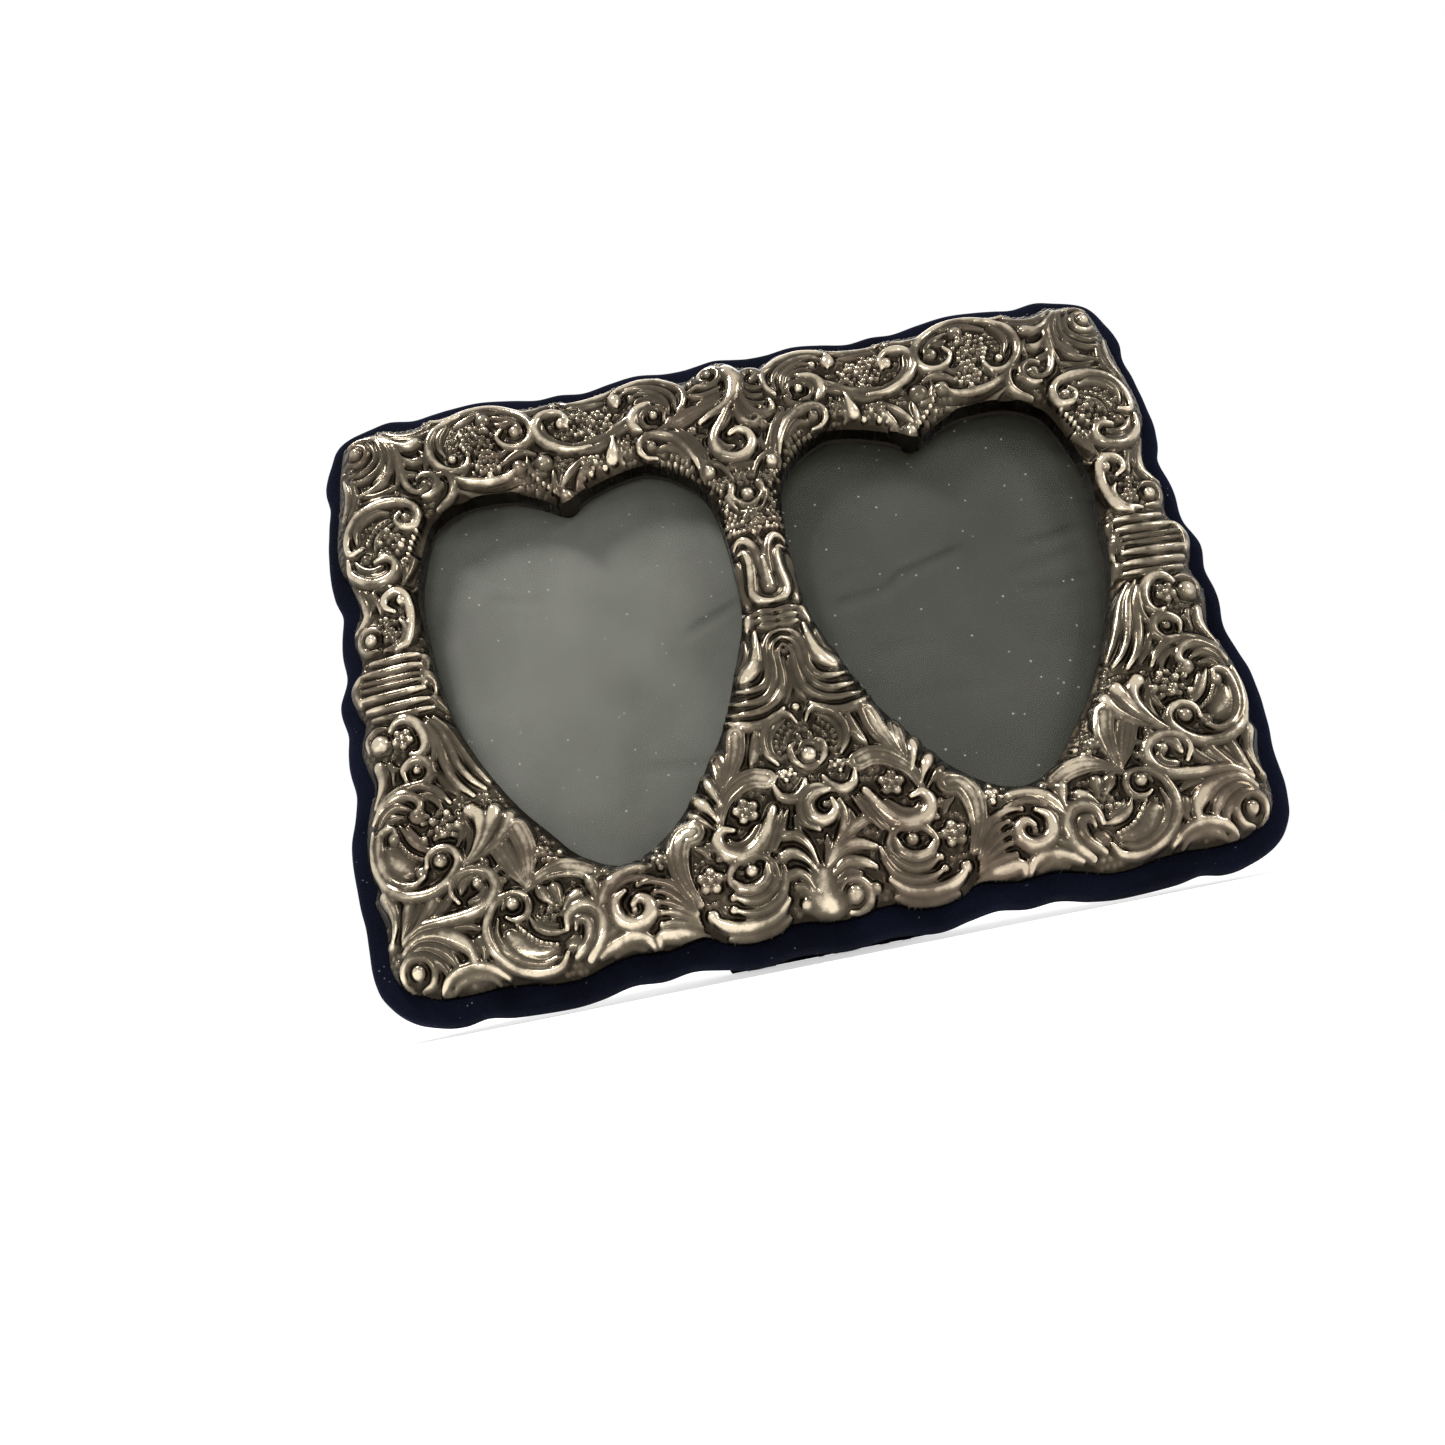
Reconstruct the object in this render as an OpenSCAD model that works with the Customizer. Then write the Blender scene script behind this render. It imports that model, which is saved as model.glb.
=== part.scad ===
// Double heart picture frame: a stamped silver front on a velvet-covered body,
// two heart windows, a lift-out back panel and a folding easel strut.
// Every piece is drawn in the plane of the frame: +X to the right, +Y up along
// the frame, +Z out of the front, with the back of the velvet at zero. The
// stand() module then leans the whole frame back on its strut.

/* [Frame] */
// Width of silver and velvet outside each window, at the widest scallops
side_border = 22.8; // [18:0.1:34]
// Height of silver and velvet above and below a window, together
height_border = 59.5; // [48:0.5:80]
// Lean from upright when it stands on its strut, in degrees
lean = 13; // [9:1:18]

/* [Velvet body] */
// Thickness of the velvet with its padding
velvet_t = 1.5; // [1:0.1:2]
// Thickness of the wooden core board
core_t = 7; // [6.5:0.5:10]
// Depth of the lip that holds the panes in from the front
lip_t = 1.5; // [1:0.1:2]

/* [Silver front] */
// Velvet left showing round the silver front
reveal = 4.3; // [2:0.1:7]
// Height of the stamped front above the velvet
casing_h = 7.6; // [6.5:0.1:11]
// How far its ornament stands above its dome
relief_h = 1.6; // [1:0.1:2.2]
// Thickness of the stamped sheet
casing_wall = 0.6; // [0.4:0.1:1]
// How far in from its edge the front reaches its full height
dome_run = 7.5; // [5:0.1:9]
// How far out from a window the front reaches its full height
rim_run = 4.2; // [3:0.1:5]

/* [Heart windows] */
// Width of a heart window
heart_w = 76.7; // [60:0.1:78]
// Height of a heart window
heart_h = 102.5; // [80:0.1:106]
// Metal left between the two windows
heart_gap = 14; // [12:0.1:20]
// Height of a heart's middle above the middle line of the pattern
heart_mid = 7.2; // [5:0.1:10]

/* [Panes and inserts] */
// Thickness of a glass pane
glass_t = 2; // [1.5:0.1:2.5]
// Thickness of a dark insert sheet
insert_t = 0.5; // [0.3:0.1:0.8]
// Thickness of the card that presses the inserts on the panes
card_t = 1.5; // [1:0.1:2]
// Gap between the two panes at the middle
pane_gap = 1; // [0.6:0.1:2]
// Play round each pane, insert and card in the recess
pane_play = 0.4; // [0.2:0.1:0.6]

/* [Back panel] */
// How far the recess in the back reaches past the windows
pane_ledge = 4.8; // [4:0.1:7]
// Corner radius of the recess
recess_r = 4; // [2:0.5:8]
// Play round the back panel
panel_play = 0.4; // [0.3:0.05:0.6]
// Thickness of the velvet on the panel and the strut
skin_t = 0.8; // [0.5:0.1:1]
// Width of the ribbon pull tab
tab_w = 12; // [8:1:20]
// Length of the ribbon pull tab
tab_l = 12; // [8:1:13]
// Thickness of the folded ribbon
tab_t = 0.8; // [0.5:0.1:1.2]
// Distance of the pull tab below the panel's top edge
tab_edge = 2; // [1:0.5:4]

/* [Strut] */
// Length of the strut from the hinge pin to its foot
strut_l = 103; // [80:0.5:125]
// Angle that the strut opens to from the frame's back, in degrees
open_angle = 28.6; // [22:0.1:36]
// Width of the strut at its foot
strut_foot_w = 54; // [40:1:80]
// Width of the strut at the hinge
strut_top_w = 36; // [34:1:50]
// Thickness of the strut's board
strut_core_t = 3; // [2.5:0.1:5]
// Corner radius of the foot
foot_r = 3; // [1:0.5:6]

/* [Hinge] */
// Width of the hinge
hinge_w = 30; // [24:1:32]
// Length of each hinge leaf
leaf_l = 15; // [12:1:16]
// Thickness of the hinge sheet
leaf_t = 0.8; // [0.6:0.1:1]
// Radius of the hinge pin
pin_r = 1; // [0.8:0.05:1.2]
// Wall of a knuckle round the pin
knuckle_wall = 0.75; // [0.6:0.05:0.9]
// Length of the stop tongue past the pin
stop_l = 7; // [5:0.5:9]
// Radius of a rivet's shank
rivet_r = 1; // [0.8:0.1:1.2]

/* [Hidden] */

// Radial play between the pin and the strut's knuckles
pin_play = 0.05;
// Radial play round a brad or a rivet in its hole
shank_play = 0.05;
// Gap between neighbouring knuckles, and between knuckles and what they pass
knuckle_gap = 0.3;
// Gap left at the stop when the strut is fully open
stop_gap = 0.05;
// How far a cutting shape runs past the face that it cuts
over = 1;
// Depth of the filler board inside the silver front
filler_t = 4;
// Radius, head radius and head thickness of a brad
brad_r = 0.6;
brad_head_r = 1.3;
brad_head_t = 0.6;
// How deep a brad bites into the filler board
brad_bite = 3;
// Distance of the brads in from the edge of the filler board
brad_edge = 2.5;
// Radius and thickness of a rivet's head
rivet_head_r = 1.9;
rivet_head_t = 0.7;
// Distance of a rivet from the side and from the end of its leaf
rivet_side = 5;
rivet_end = 5;
// Radius and thickness of the peened heads on the hinge pin
pin_head_r = 1.5;
pin_head_t = 0.6;
// Gap between the strut's top edge and the knuckles
strut_top_gap = 0.7;
// Gap between the pull tab and the side of the hinge
tab_gap = 1;
// Least distance of the hinge below the panel's top edge
leaf_edge = 2;
knuckle_count = 5;
// Softened edge of the velvet body, as a share of the velvet's thickness
edge_share = 0.8;
// How far an outline is drawn in or out for each pass that smooths it
relax_step = 0.5;
// Points round each corner of the strut's foot
foot_arc_steps = 8;

// Outline of the velvet body from the top middle clockwise down to the bottom
// middle, in shares of the pattern's unit. The left half mirrors it.
outline_shares = [
    [0, 0.904], [0.05, 0.896], [0.09, 0.88], [0.14, 0.89], [0.21, 0.901],
    [0.28, 0.892], [0.355, 0.877], [0.42, 0.885], [0.48, 0.882], [0.55, 0.896],
    [0.63, 0.908], [0.70, 0.905], [0.76, 0.897], [0.81, 0.889], [0.875, 0.898],
    [0.93, 0.885], [0.985, 0.866], [1.02, 0.838], [1.042, 0.785], [1.059, 0.72],
    [1.052, 0.66], [1.06, 0.58], [1.066, 0.47], [1.058, 0.395], [1.041, 0.335],
    [1.049, 0.25], [1.043, 0.16], [1.063, 0.09], [1.051, 0.015], [1.055, -0.06],
    [1.042, -0.15], [1.062, -0.27], [1.058, -0.37], [1.044, -0.47], [1.039, -0.55],
    [1.02, -0.62], [0.975, -0.673], [0.915, -0.698], [0.86, -0.707], [0.805, -0.699],
    [0.74, -0.709], [0.62, -0.714], [0.55, -0.707], [0.48, -0.692], [0.41, -0.696],
    [0.345, -0.687], [0.28, -0.696], [0.205, -0.709], [0.105, -0.699], [0, -0.709]];
// Outline of a heart window, clockwise from its outer shoulder, out from its
// inner edge and up from its middle, in shares of the heart's unit.
heart_shares = [
    [0.723, 0.443], [0.753, 0.35], [0.767, 0.268], [0.764, 0.18], [0.75, 0.05],
    [0.725, -0.067], [0.69, -0.158], [0.65, -0.24], [0.59, -0.337], [0.53, -0.41],
    [0.485, -0.463], [0.43, -0.501], [0.375, -0.513], [0.31, -0.489], [0.25, -0.443],
    [0.205, -0.393], [0.165, -0.333], [0.12, -0.266], [0.088, -0.20], [0.06, -0.126],
    [0.033, -0.052], [0.01, 0.018], [0.001, 0.10], [0, 0.19], [0.004, 0.27],
    [0.014, 0.35], [0.036, 0.416], [0.085, 0.468], [0.13, 0.498], [0.18, 0.512],
    [0.24, 0.502], [0.295, 0.484], [0.336, 0.464], [0.362, 0.44], [0.386, 0.438],
    [0.42, 0.459], [0.46, 0.483], [0.505, 0.502], [0.57, 0.508], [0.635, 0.503],
    [0.685, 0.48]];
// Profile of the silver front's outer edge: share of the run in from the edge,
// share of the height.
dome_shares = [[0, 0], [0.03, 0.2], [0.2, 0.5], [0.52, 0.79], [1, 1]];
// Profile of a window's rolled rim: share of the run out, share of the height.
rim_shares = [[0, 0], [0.05, 0.35], [0.28, 0.68], [0.6, 0.88], [1, 1]];
// The rows of those two profiles that the ornament's tops follow, and those that
// the hollow behind the front follows
raised_steps = [0, 2, 4];
hollow_steps = [0, 4];
// Main scrolls, leaves, shells and fruits of the ornament's right half, which the
// left half mirrors: the radius, then the points passed, in shares of the unit.
scroll_shares = [
    [0.026, [0.95, 0.765]], [0.014, [0.975, 0.675], [0.895, 0.7], [0.895, 0.79]],
    [0.015, [0.885, 0.805], [0.845, 0.7], [0.78, 0.615]],
    [0.016, [0.74, 0.825], [0.6, 0.83], [0.51, 0.76], [0.55, 0.695]],
    [0.015, [0.7, 0.81], [0.76, 0.73], [0.69, 0.665]], [0.034, [0.64, 0.73]],
    [0.016, [0.36, 0.65], [0.46, 0.675], [0.47, 0.77], [0.415, 0.75]],
    [0.03, [0.356, 0.72]],
    [0.014, [0.27, 0.81], [0.15, 0.815], [0.108, 0.75], [0.13, 0.7]],
    [0.015, [0.21, 0.59], [0.225, 0.64], [0.15, 0.62], [0.106, 0.54]],
    [0.016, [0.99, 0.48], [0.97, 0.56], [0.88, 0.593], [0.82, 0.54]],
    [0.028, [0.883, 0.475]], [0.015, [0.99, 0.44], [0.94, 0.375], [0.88, 0.41]],
    [0.015, [0.905, 0.31], [0.855, 0.31], [0.86, 0.22], [0.9, 0.178]],
    [0.024, [0.956, 0.22]], [0.012, [0.97, 0.14], [0.84, 0.14]],
    [0.012, [0.975, 0.035], [0.825, 0.035]], [0.026, [0.956, -0.054]],
    [0.028, [0.898, -0.054]],
    [0.014, [0.843, -0.025], [0.82, -0.12], [0.758, -0.22]],
    [0.016, [0.98, -0.22], [0.9, -0.195], [0.886, -0.25]],
    [0.018, [0.99, -0.28], [0.965, -0.4], [0.86, -0.43], [0.81, -0.36]],
    [0.032, [0.843, -0.284]], [0.017, [0.79, -0.385], [0.753, -0.27]],
    [0.02, [0.665, -0.45], [0.66, -0.32]],
    [0.015, [0.81, -0.44], [0.75, -0.405], [0.75, -0.475], [0.93, -0.515]],
    [0.016, [0.94, -0.55], [0.84, -0.53], [0.795, -0.6]], [0.028, [0.917, -0.597]],
    [0.016, [0.69, -0.47], [0.76, -0.54], [0.69, -0.635], [0.6, -0.62]],
    [0.03, [0.62, -0.535]], [0.018, [0.66, -0.46], [0.59, -0.43], [0.525, -0.45]],
    [0.016, [0.585, -0.57], [0.53, -0.53], [0.525, -0.62]],
    [0.015, [0.505, -0.53], [0.46, -0.47], [0.41, -0.46]], [0.03, [0.164, -0.385]],
    [0.019, [0.23, -0.41], [0.18, -0.33], [0.108, -0.32]],
    [0.016, [0.23, -0.43], [0.185, -0.485], [0.106, -0.39]],
    [0.02, [0.305, -0.57], [0.33, -0.46], [0.285, -0.41]], [0.03, [0.265, -0.526]],
    [0.014, [0.22, -0.55], [0.17, -0.5], [0.125, -0.55]],
    [0.013, [0.046, 0.27], [0.04, 0.15], [0, 0.12]],
    [0.012, [0, 0.038], [0.05, -0.04], [0.135, -0.095]]];
// The same for the middle, which isn't symmetrical
middle_shares = [
    [0.032, [0, 0.429]], [0.023, [-0.06, 0.665], [0.02, 0.74], [0.015, 0.815]],
    [0.015, [-0.02, 0.66], [-0.05, 0.58], [0.02, 0.543], [0.035, 0.6]],
    [0.016, [0, 0.22], [0, 0.155]], [0.023, [0, -0.28]],
    [0.015, [-0.09, -0.465], [-0.035, -0.55]],
    [0.015, [0.085, -0.465], [-0.01, -0.55]],
    [0.026, [-0.03, -0.57], [-0.03, -0.63]]];
// Sides of a scroll's round end
scroll_sides = 6;
// Places of the brads round the outline, as shares of the way round
brad_shares = [0.06, 0.17, 0.31, 0.42, 0.58, 0.69, 0.83, 0.94];

// Points that a smooth closed curve gets between two chosen ones
curve_steps = 2;

edge_soft = velvet_t * edge_share;

// Levels up from the back of the velvet
core_z = velvet_t;
face_z = velvet_t + core_t + velvet_t;
lip_z = velvet_t + core_t - lip_t;
insert_z = lip_z - glass_t;
card_z = insert_z - insert_t;
panel_z = card_z - card_t;
panel_core_t = panel_z - skin_t;

// The knuckles, and the axis of the pin behind the back of the panel
knuckle_r = pin_r + pin_play + knuckle_wall;
hinge_z = -knuckle_r - knuckle_gap;
knuckle_pitch = hinge_w / knuckle_count;
strut_t = strut_core_t + 2 * skin_t;
strut_top = -knuckle_r - strut_top_gap;

function x_of(points) = [for (p = points) p[0]];
function y_of(points) = [for (p = points) p[1]];

// A smooth closed curve through chosen points
function bend(a, b, c, d, t) =
    (2 * b + (c - a) * t + (2 * a - 5 * b + 4 * c - d) * t * t
     + (3 * b - a - 3 * c + d) * t * t * t) / 2;
function smooth(points, steps) =
    let (n = len(points))
    [for (i = [0:n - 1]) for (j = [0:steps - 1])
        bend(points[(i + n - 1) % n], points[i], points[(i + 1) % n],
             points[(i + 2) % n], j / steps)];

// A clockwise outline moved outwards by d, or inwards where d is below zero
function grown(points, d) =
    let (n = len(points))
    [for (i = [0:n - 1])
        let (way = points[(i + 1) % n] - points[(i + n - 1) % n])
        points[i] + d * [-way[1], way[0]] / norm(way)];

// A closed outline with its small bumps and hollows eased, pass by pass
function relaxed(points, passes) =
    let (n = len(points))
    passes <= 0 ? points :
    relaxed([for (i = [0:n - 1])
        (points[(i + n - 1) % n] + 2 * points[i] + points[(i + 1) % n]) / 4], passes - 1);

// An outline moved far enough to need easing, so that it never crosses itself
function drawn(points, d) = grown(relaxed(points, ceil(abs(d) / relax_step)), d);

// The velvet body's outline, drawn round the windows and their borders
frame_w = 2 * (heart_w + side_border) + heart_gap;
frame_h = heart_h + height_border;
unit_x = frame_w / 2 / max(x_of(outline_shares));
unit_y = frame_h / (max(y_of(outline_shares)) - min(y_of(outline_shares)));
half_outline = [for (s = outline_shares) [s[0] * unit_x, s[1] * unit_y]];
last = len(half_outline) - 1;
body_outline = smooth(concat(half_outline,
    [for (i = [1:last - 1]) [-half_outline[last - i][0], half_outline[last - i][1]]]),
    curve_steps);
casing_outline = grown(body_outline, -reveal);

// The right-hand window's outline
heart_unit_x = heart_w / max(x_of(heart_shares));
heart_unit_y = heart_h / (max(y_of(heart_shares)) - min(y_of(heart_shares)));
heart_outline = smooth([for (s = heart_shares)
    [heart_gap / 2 + s[0] * heart_unit_x, heart_mid + s[1] * heart_unit_y]], curve_steps);

// Standing: the lowest point of the body sets how far it is raised, and the
// hinge sits where the open strut's foot reaches the same level.
function level_y(p, z) = p[1] * sin(lean) - z * cos(lean);
function level_z(p, z) = p[1] * cos(lean) + z * sin(lean);
body_steps = [[edge_soft, 0], [0, edge_soft], [0, face_z - edge_soft], [edge_soft, face_z]];
rise = -min([for (s = body_steps) for (p = grown(body_outline, -s[0])) level_z(p, s[1])]);
foot_angle = open_angle - lean;
hinge_rise = norm([strut_l, strut_t]) * cos(foot_angle + atan2(strut_t, strut_l));
hinge_y = (hinge_rise - rise - hinge_z * sin(lean)) / cos(lean);
foot_y = hinge_y - strut_l * cos(open_angle) + strut_t * sin(open_angle);
foot_z = hinge_z - strut_l * sin(open_angle) - strut_t * cos(open_angle);
front_y = min([for (s = dome_shares) for (p = grown(casing_outline, -s[0] * dome_run))
    level_y(p, face_z + s[1] * casing_h)]);
ground_h = casing_h - relief_h;
middle_y = (front_y + level_y([0, foot_y], foot_z)) / 2;

// The recess reaches past the windows, and up past the hinge
recess_w = 2 * (heart_w + pane_ledge) + heart_gap;
recess_top = max(max(y_of(heart_outline)) + pane_ledge,
                 hinge_y + leaf_l + leaf_edge + panel_play);
recess_low = min(y_of(heart_outline)) - pane_ledge;
recess_h = recess_top - recess_low;
recess_y = (recess_top + recess_low) / 2;

echo(open_angle = open_angle);
echo(hinge_pin_m = [0, level_y([0, hinge_y], hinge_z) - middle_y, hinge_rise] / 1000);
echo(foot_m = [0, level_y([0, foot_y], foot_z) - middle_y, 0] / 1000);

// Leans the frame back and sets it on the ground, centred over the origin
module stand() {
    translate([0, -middle_y, rise]) rotate([90 - lean, 0, 0]) children();
}

// Turns a piece of the strut about the pin to its open place
module opened() {
    translate([0, hinge_y, hinge_z]) rotate([open_angle, 0, 0]) children();
}

module both_sides() {
    children();
    mirror([1, 0, 0]) children();
}

// A solid through a pile of outlines of equal length, each at its own level
module loft(rings, levels) {
    n = len(rings[0]);
    top = len(rings) - 1;
    points = [for (k = [0:top]) for (p = rings[k]) [p[0], p[1], levels[k]]];
    sides = [for (k = [0:top - 1]) for (i = [0:n - 1])
        let (j = (i + 1) % n, a = k * n, b = a + n)
        each [[a + i, a + j, b + j], [a + i, b + j, b + i]]];
    base_face = [for (i = [0:n - 1]) n - 1 - i];
    top_face = [for (i = [0:n - 1]) top * n + i];
    polyhedron(points, concat(sides, [base_face, top_face]));
}

// The dome of the silver front above the velvet, through some rows of its
// profile, drawn in by a wall all over, lifted, and carried down by a drop
module dome(steps, wall, lift, drop) {
    shares = [for (k = steps) dome_shares[k]];
    rings = [for (s = shares) grown(drawn(casing_outline, -s[0] * dome_run), -wall)];
    loft(rings, [for (s = shares) s[1] == 0 ? -drop : s[1] * ground_h + lift - wall]);
}

// The space of one window through the silver front, widened by a wall and lifted
module window(steps, wall, lift) {
    shares = [for (k = steps) rim_shares[k]];
    rings = [for (s = shares) grown(drawn(heart_outline, s[0] * rim_run), wall)];
    levels = [for (s = shares) s[1] == 0 ? -over : s[1] * ground_h + lift - wall];
    loft(concat(rings, [rings[len(rings) - 1]]), concat(levels, [casing_h + over]));
}

// One scroll, leaf or fruit of the ornament, seen from the front
module scroll(shares) {
    places = [for (i = [1:len(shares) - 1]) [shares[i][0] * unit_x, shares[i][1] * unit_y]];
    for (i = [0:max(0, len(places) - 2)]) hull()
        for (p = [places[i], places[min(i + 1, len(places) - 1)]])
            translate(p) circle(r = shares[0] * unit_y, $fn = scroll_sides);
}

module ornament() {
    linear_extrude(casing_h + over) {
        both_sides() for (s = scroll_shares) scroll(s);
        for (s = middle_shares) scroll(s);
    }
}

module front_casing() {
    all_steps = [0:len(dome_shares) - 1];
    color("darkgray") stand() translate([0, 0, face_z]) resize([0, 0, casing_h])
        difference() {
            union() {
                difference() {
                    dome(all_steps, 0, 0, 0);
                    both_sides() window(all_steps, 0, 0);
                }
                difference() {
                    intersection() {
                        dome(raised_steps, 0, relief_h, 0);
                        ornament();
                    }
                    both_sides() window(raised_steps, 0, relief_h);
                }
            }
            difference() {
                dome(hollow_steps, casing_wall, 0, over);
                both_sides() window(hollow_steps, casing_wall, 0);
            }
        }
}

// A flat slab of an outline
module slab(points, base, height) {
    translate([0, 0, base]) linear_extrude(height) polygon(points);
}

module heart_hole(base, height) {
    both_sides() slab(heart_outline, base, height);
}

// Puts a brad at each of its places
module at_brads() {
    ring = grown(drawn(casing_outline, -dome_run), -brad_edge);
    for (s = brad_shares) translate(concat(ring[floor(s * len(ring))], [0])) children();
}

module filler_board() {
    color("tan") stand() difference() {
        slab(drawn(casing_outline, -dome_run), face_z, filler_t);
        both_sides() slab(drawn(heart_outline, rim_run), face_z - over, filler_t + 2 * over);
        at_brads() translate([0, 0, face_z - over])
            cylinder(h = over + brad_bite, r = brad_r + shank_play, $fn = 24);
    }
}

module fixing_brads() {
    color("goldenrod") stand() at_brads() translate([0, 0, core_z]) {
        cylinder(h = face_z - core_z + brad_bite, r = brad_r, $fn = 24);
        cylinder(h = brad_head_t, r = brad_head_r, $fn = 24);
    }
}

// A rectangle with round corners, about the middle of the recess
module rounded_slab(width, height, radius, base, thickness) {
    translate([0, recess_y, base]) linear_extrude(thickness) union() {
        square([width - 2 * radius, height], center = true);
        square([width, height - 2 * radius], center = true);
        for (x = [-1, 1], y = [-1, 1])
            translate([x * (width / 2 - radius), y * (height / 2 - radius)])
                circle(r = radius, $fn = 48);
    }
}

module core_board() {
    color("burlywood") stand() difference() {
        slab(grown(body_outline, -velvet_t), core_z, core_t);
        rounded_slab(recess_w, recess_h, recess_r, core_z - over, lip_z - core_z + over);
        heart_hole(core_z, core_t + over);
        at_brads() translate([0, 0, core_z - over]) {
            cylinder(h = core_t + 2 * over, r = brad_r + shank_play, $fn = 24);
            cylinder(h = over + brad_head_t, r = brad_head_r + shank_play, $fn = 24);
        }
    }
}

module velvet_cover() {
    color("midnightblue") stand() difference() {
        union() {
            slab(body_outline, edge_soft, face_z - 2 * edge_soft);
            slab(grown(body_outline, -edge_soft), 0, face_z);
        }
        slab(grown(body_outline, -velvet_t), core_z, core_t);
        rounded_slab(recess_w, recess_h, recess_r, -over, core_z + over);
        heart_hole(core_z, core_t + velvet_t + over);
        at_brads() translate([0, 0, face_z - velvet_t - over])
            cylinder(h = velvet_t + 2 * over, r = brad_r + shank_play, $fn = 24);
    }
}

// One half of the recess, less the play, for a pane or an insert on the right
module half_sheet(base, thickness) {
    width = recess_w / 2 - pane_play - pane_gap / 2;
    height = recess_h - 2 * pane_play;
    corner = recess_r - pane_play;
    translate([pane_gap / 2, recess_y - height / 2, base]) union() {
        cube([width - corner, height, thickness]);
        translate([0, corner, 0]) cube([width, height - 2 * corner, thickness]);
        for (y = [corner, height - corner])
            translate([width - corner, y, 0]) cylinder(h = thickness, r = corner, $fn = 48);
    }
}

module glass_right() {
    color("lightcyan", 0.4) stand() half_sheet(insert_z, glass_t);
}

module glass_left() {
    color("lightcyan", 0.4) stand() mirror([1, 0, 0]) half_sheet(insert_z, glass_t);
}

module insert_right() {
    color("dimgray") stand() half_sheet(card_z, insert_t);
}

module insert_left() {
    color("dimgray") stand() mirror([1, 0, 0]) half_sheet(card_z, insert_t);
}

module pressure_card() {
    color("gray") stand()
        rounded_slab(recess_w - 2 * pane_play, recess_h - 2 * pane_play,
                     recess_r - pane_play, panel_z, card_t);
}

// Puts a rivet at each of its places on the panel's leaf, in the frame's plane
module at_panel_rivets() {
    for (side = [-1, 1])
        translate([side * (hinge_w / 2 - rivet_side), hinge_y + leaf_l - rivet_end, 0])
            children();
}

module back_panel_board() {
    color("peru") stand() difference() {
        rounded_slab(recess_w - 2 * panel_play - 2 * skin_t,
                     recess_h - 2 * panel_play - 2 * skin_t,
                     recess_r - panel_play - skin_t, skin_t, panel_core_t);
        at_panel_rivets() {
            translate([0, 0, skin_t - over])
                cylinder(h = panel_core_t + 2 * over, r = rivet_r + shank_play, $fn = 32);
            translate([0, 0, panel_z - rivet_head_t])
                cylinder(h = rivet_head_t + over, r = rivet_head_r + shank_play, $fn = 32);
        }
    }
}

module back_panel_velvet() {
    color("midnightblue") stand() difference() {
        rounded_slab(recess_w - 2 * panel_play, recess_h - 2 * panel_play,
                     recess_r - panel_play, 0, panel_z);
        rounded_slab(recess_w - 2 * panel_play - 2 * skin_t,
                     recess_h - 2 * panel_play - 2 * skin_t,
                     recess_r - panel_play - skin_t, skin_t, panel_core_t + over);
        at_panel_rivets() translate([0, 0, -over])
            cylinder(h = skin_t + 2 * over, r = rivet_r + shank_play, $fn = 32);
    }
}

module pull_tab() {
    panel_top = recess_y + recess_h / 2 - panel_play;
    color("navy") stand()
        translate([hinge_w / 2 + tab_gap, panel_top - tab_edge - tab_l, -tab_t])
            cube([tab_w, tab_l, tab_t]);
}

// The knuckles that one leaf carries, counted from the left end of the hinge
module knuckles(first) {
    for (k = [first:2:knuckle_count - 1])
        translate([-hinge_w / 2 + k * knuckle_pitch + knuckle_gap / 2, 0, 0])
            rotate([0, 90, 0])
                cylinder(h = knuckle_pitch - knuckle_gap, r = knuckle_r, $fn = 48);
}

module pin_bore() {
    translate([-hinge_w, 0, 0]) rotate([0, 90, 0])
        cylinder(h = 2 * hinge_w, r = pin_r + pin_play, $fn = 48);
}

module hinge_leaf_panel() {
    clear = knuckle_r + knuckle_gap;
    color("silver") stand() difference() {
        translate([0, hinge_y, hinge_z]) difference() {
            union() {
                knuckles(0);
                translate([-hinge_w / 2 + knuckle_gap / 2, -knuckle_r / 2, -hinge_z - leaf_t])
                    cube([hinge_w - knuckle_gap, leaf_l + knuckle_r / 2, leaf_t]);
            }
            pin_bore();
            for (k = [1:2:knuckle_count - 1])
                translate([-hinge_w / 2 + k * knuckle_pitch - knuckle_gap / 2, -clear, -clear])
                    cube([knuckle_pitch + knuckle_gap, 2 * clear, 2 * clear + over]);
        }
        at_panel_rivets() translate([0, 0, -leaf_t - over])
            cylinder(h = leaf_t + 2 * over, r = rivet_r + shank_play, $fn = 32);
    }
}

module panel_rivets() {
    color("gainsboro") stand() at_panel_rivets() {
        translate([0, 0, -leaf_t])
            cylinder(h = leaf_t + panel_z, r = rivet_r, $fn = 32);
        translate([0, 0, -leaf_t - rivet_head_t])
            cylinder(h = rivet_head_t, r = rivet_head_r, $fn = 32);
        translate([0, 0, panel_z - rivet_head_t])
            cylinder(h = rivet_head_t, r = rivet_head_r, $fn = 32);
    }
}

module hinge_pin() {
    color("gainsboro") stand() translate([0, hinge_y, hinge_z]) rotate([0, 90, 0]) {
        cylinder(h = hinge_w, r = pin_r, $fn = 48, center = true);
        both_ends() cylinder(h = pin_head_t, r = pin_head_r, $fn = 48);
    }
}

// Places a head at each end of the pin
module both_ends() {
    translate([0, 0, hinge_w / 2]) children();
    mirror([0, 0, 1]) translate([0, 0, hinge_w / 2]) children();
}

// Puts a rivet at each of its places on the strut's leaf, in the strut's frame
module at_strut_rivets() {
    for (side = [-1, 1])
        translate([side * (hinge_w / 2 - rivet_side), rivet_end - leaf_l, 0]) children();
}

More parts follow.
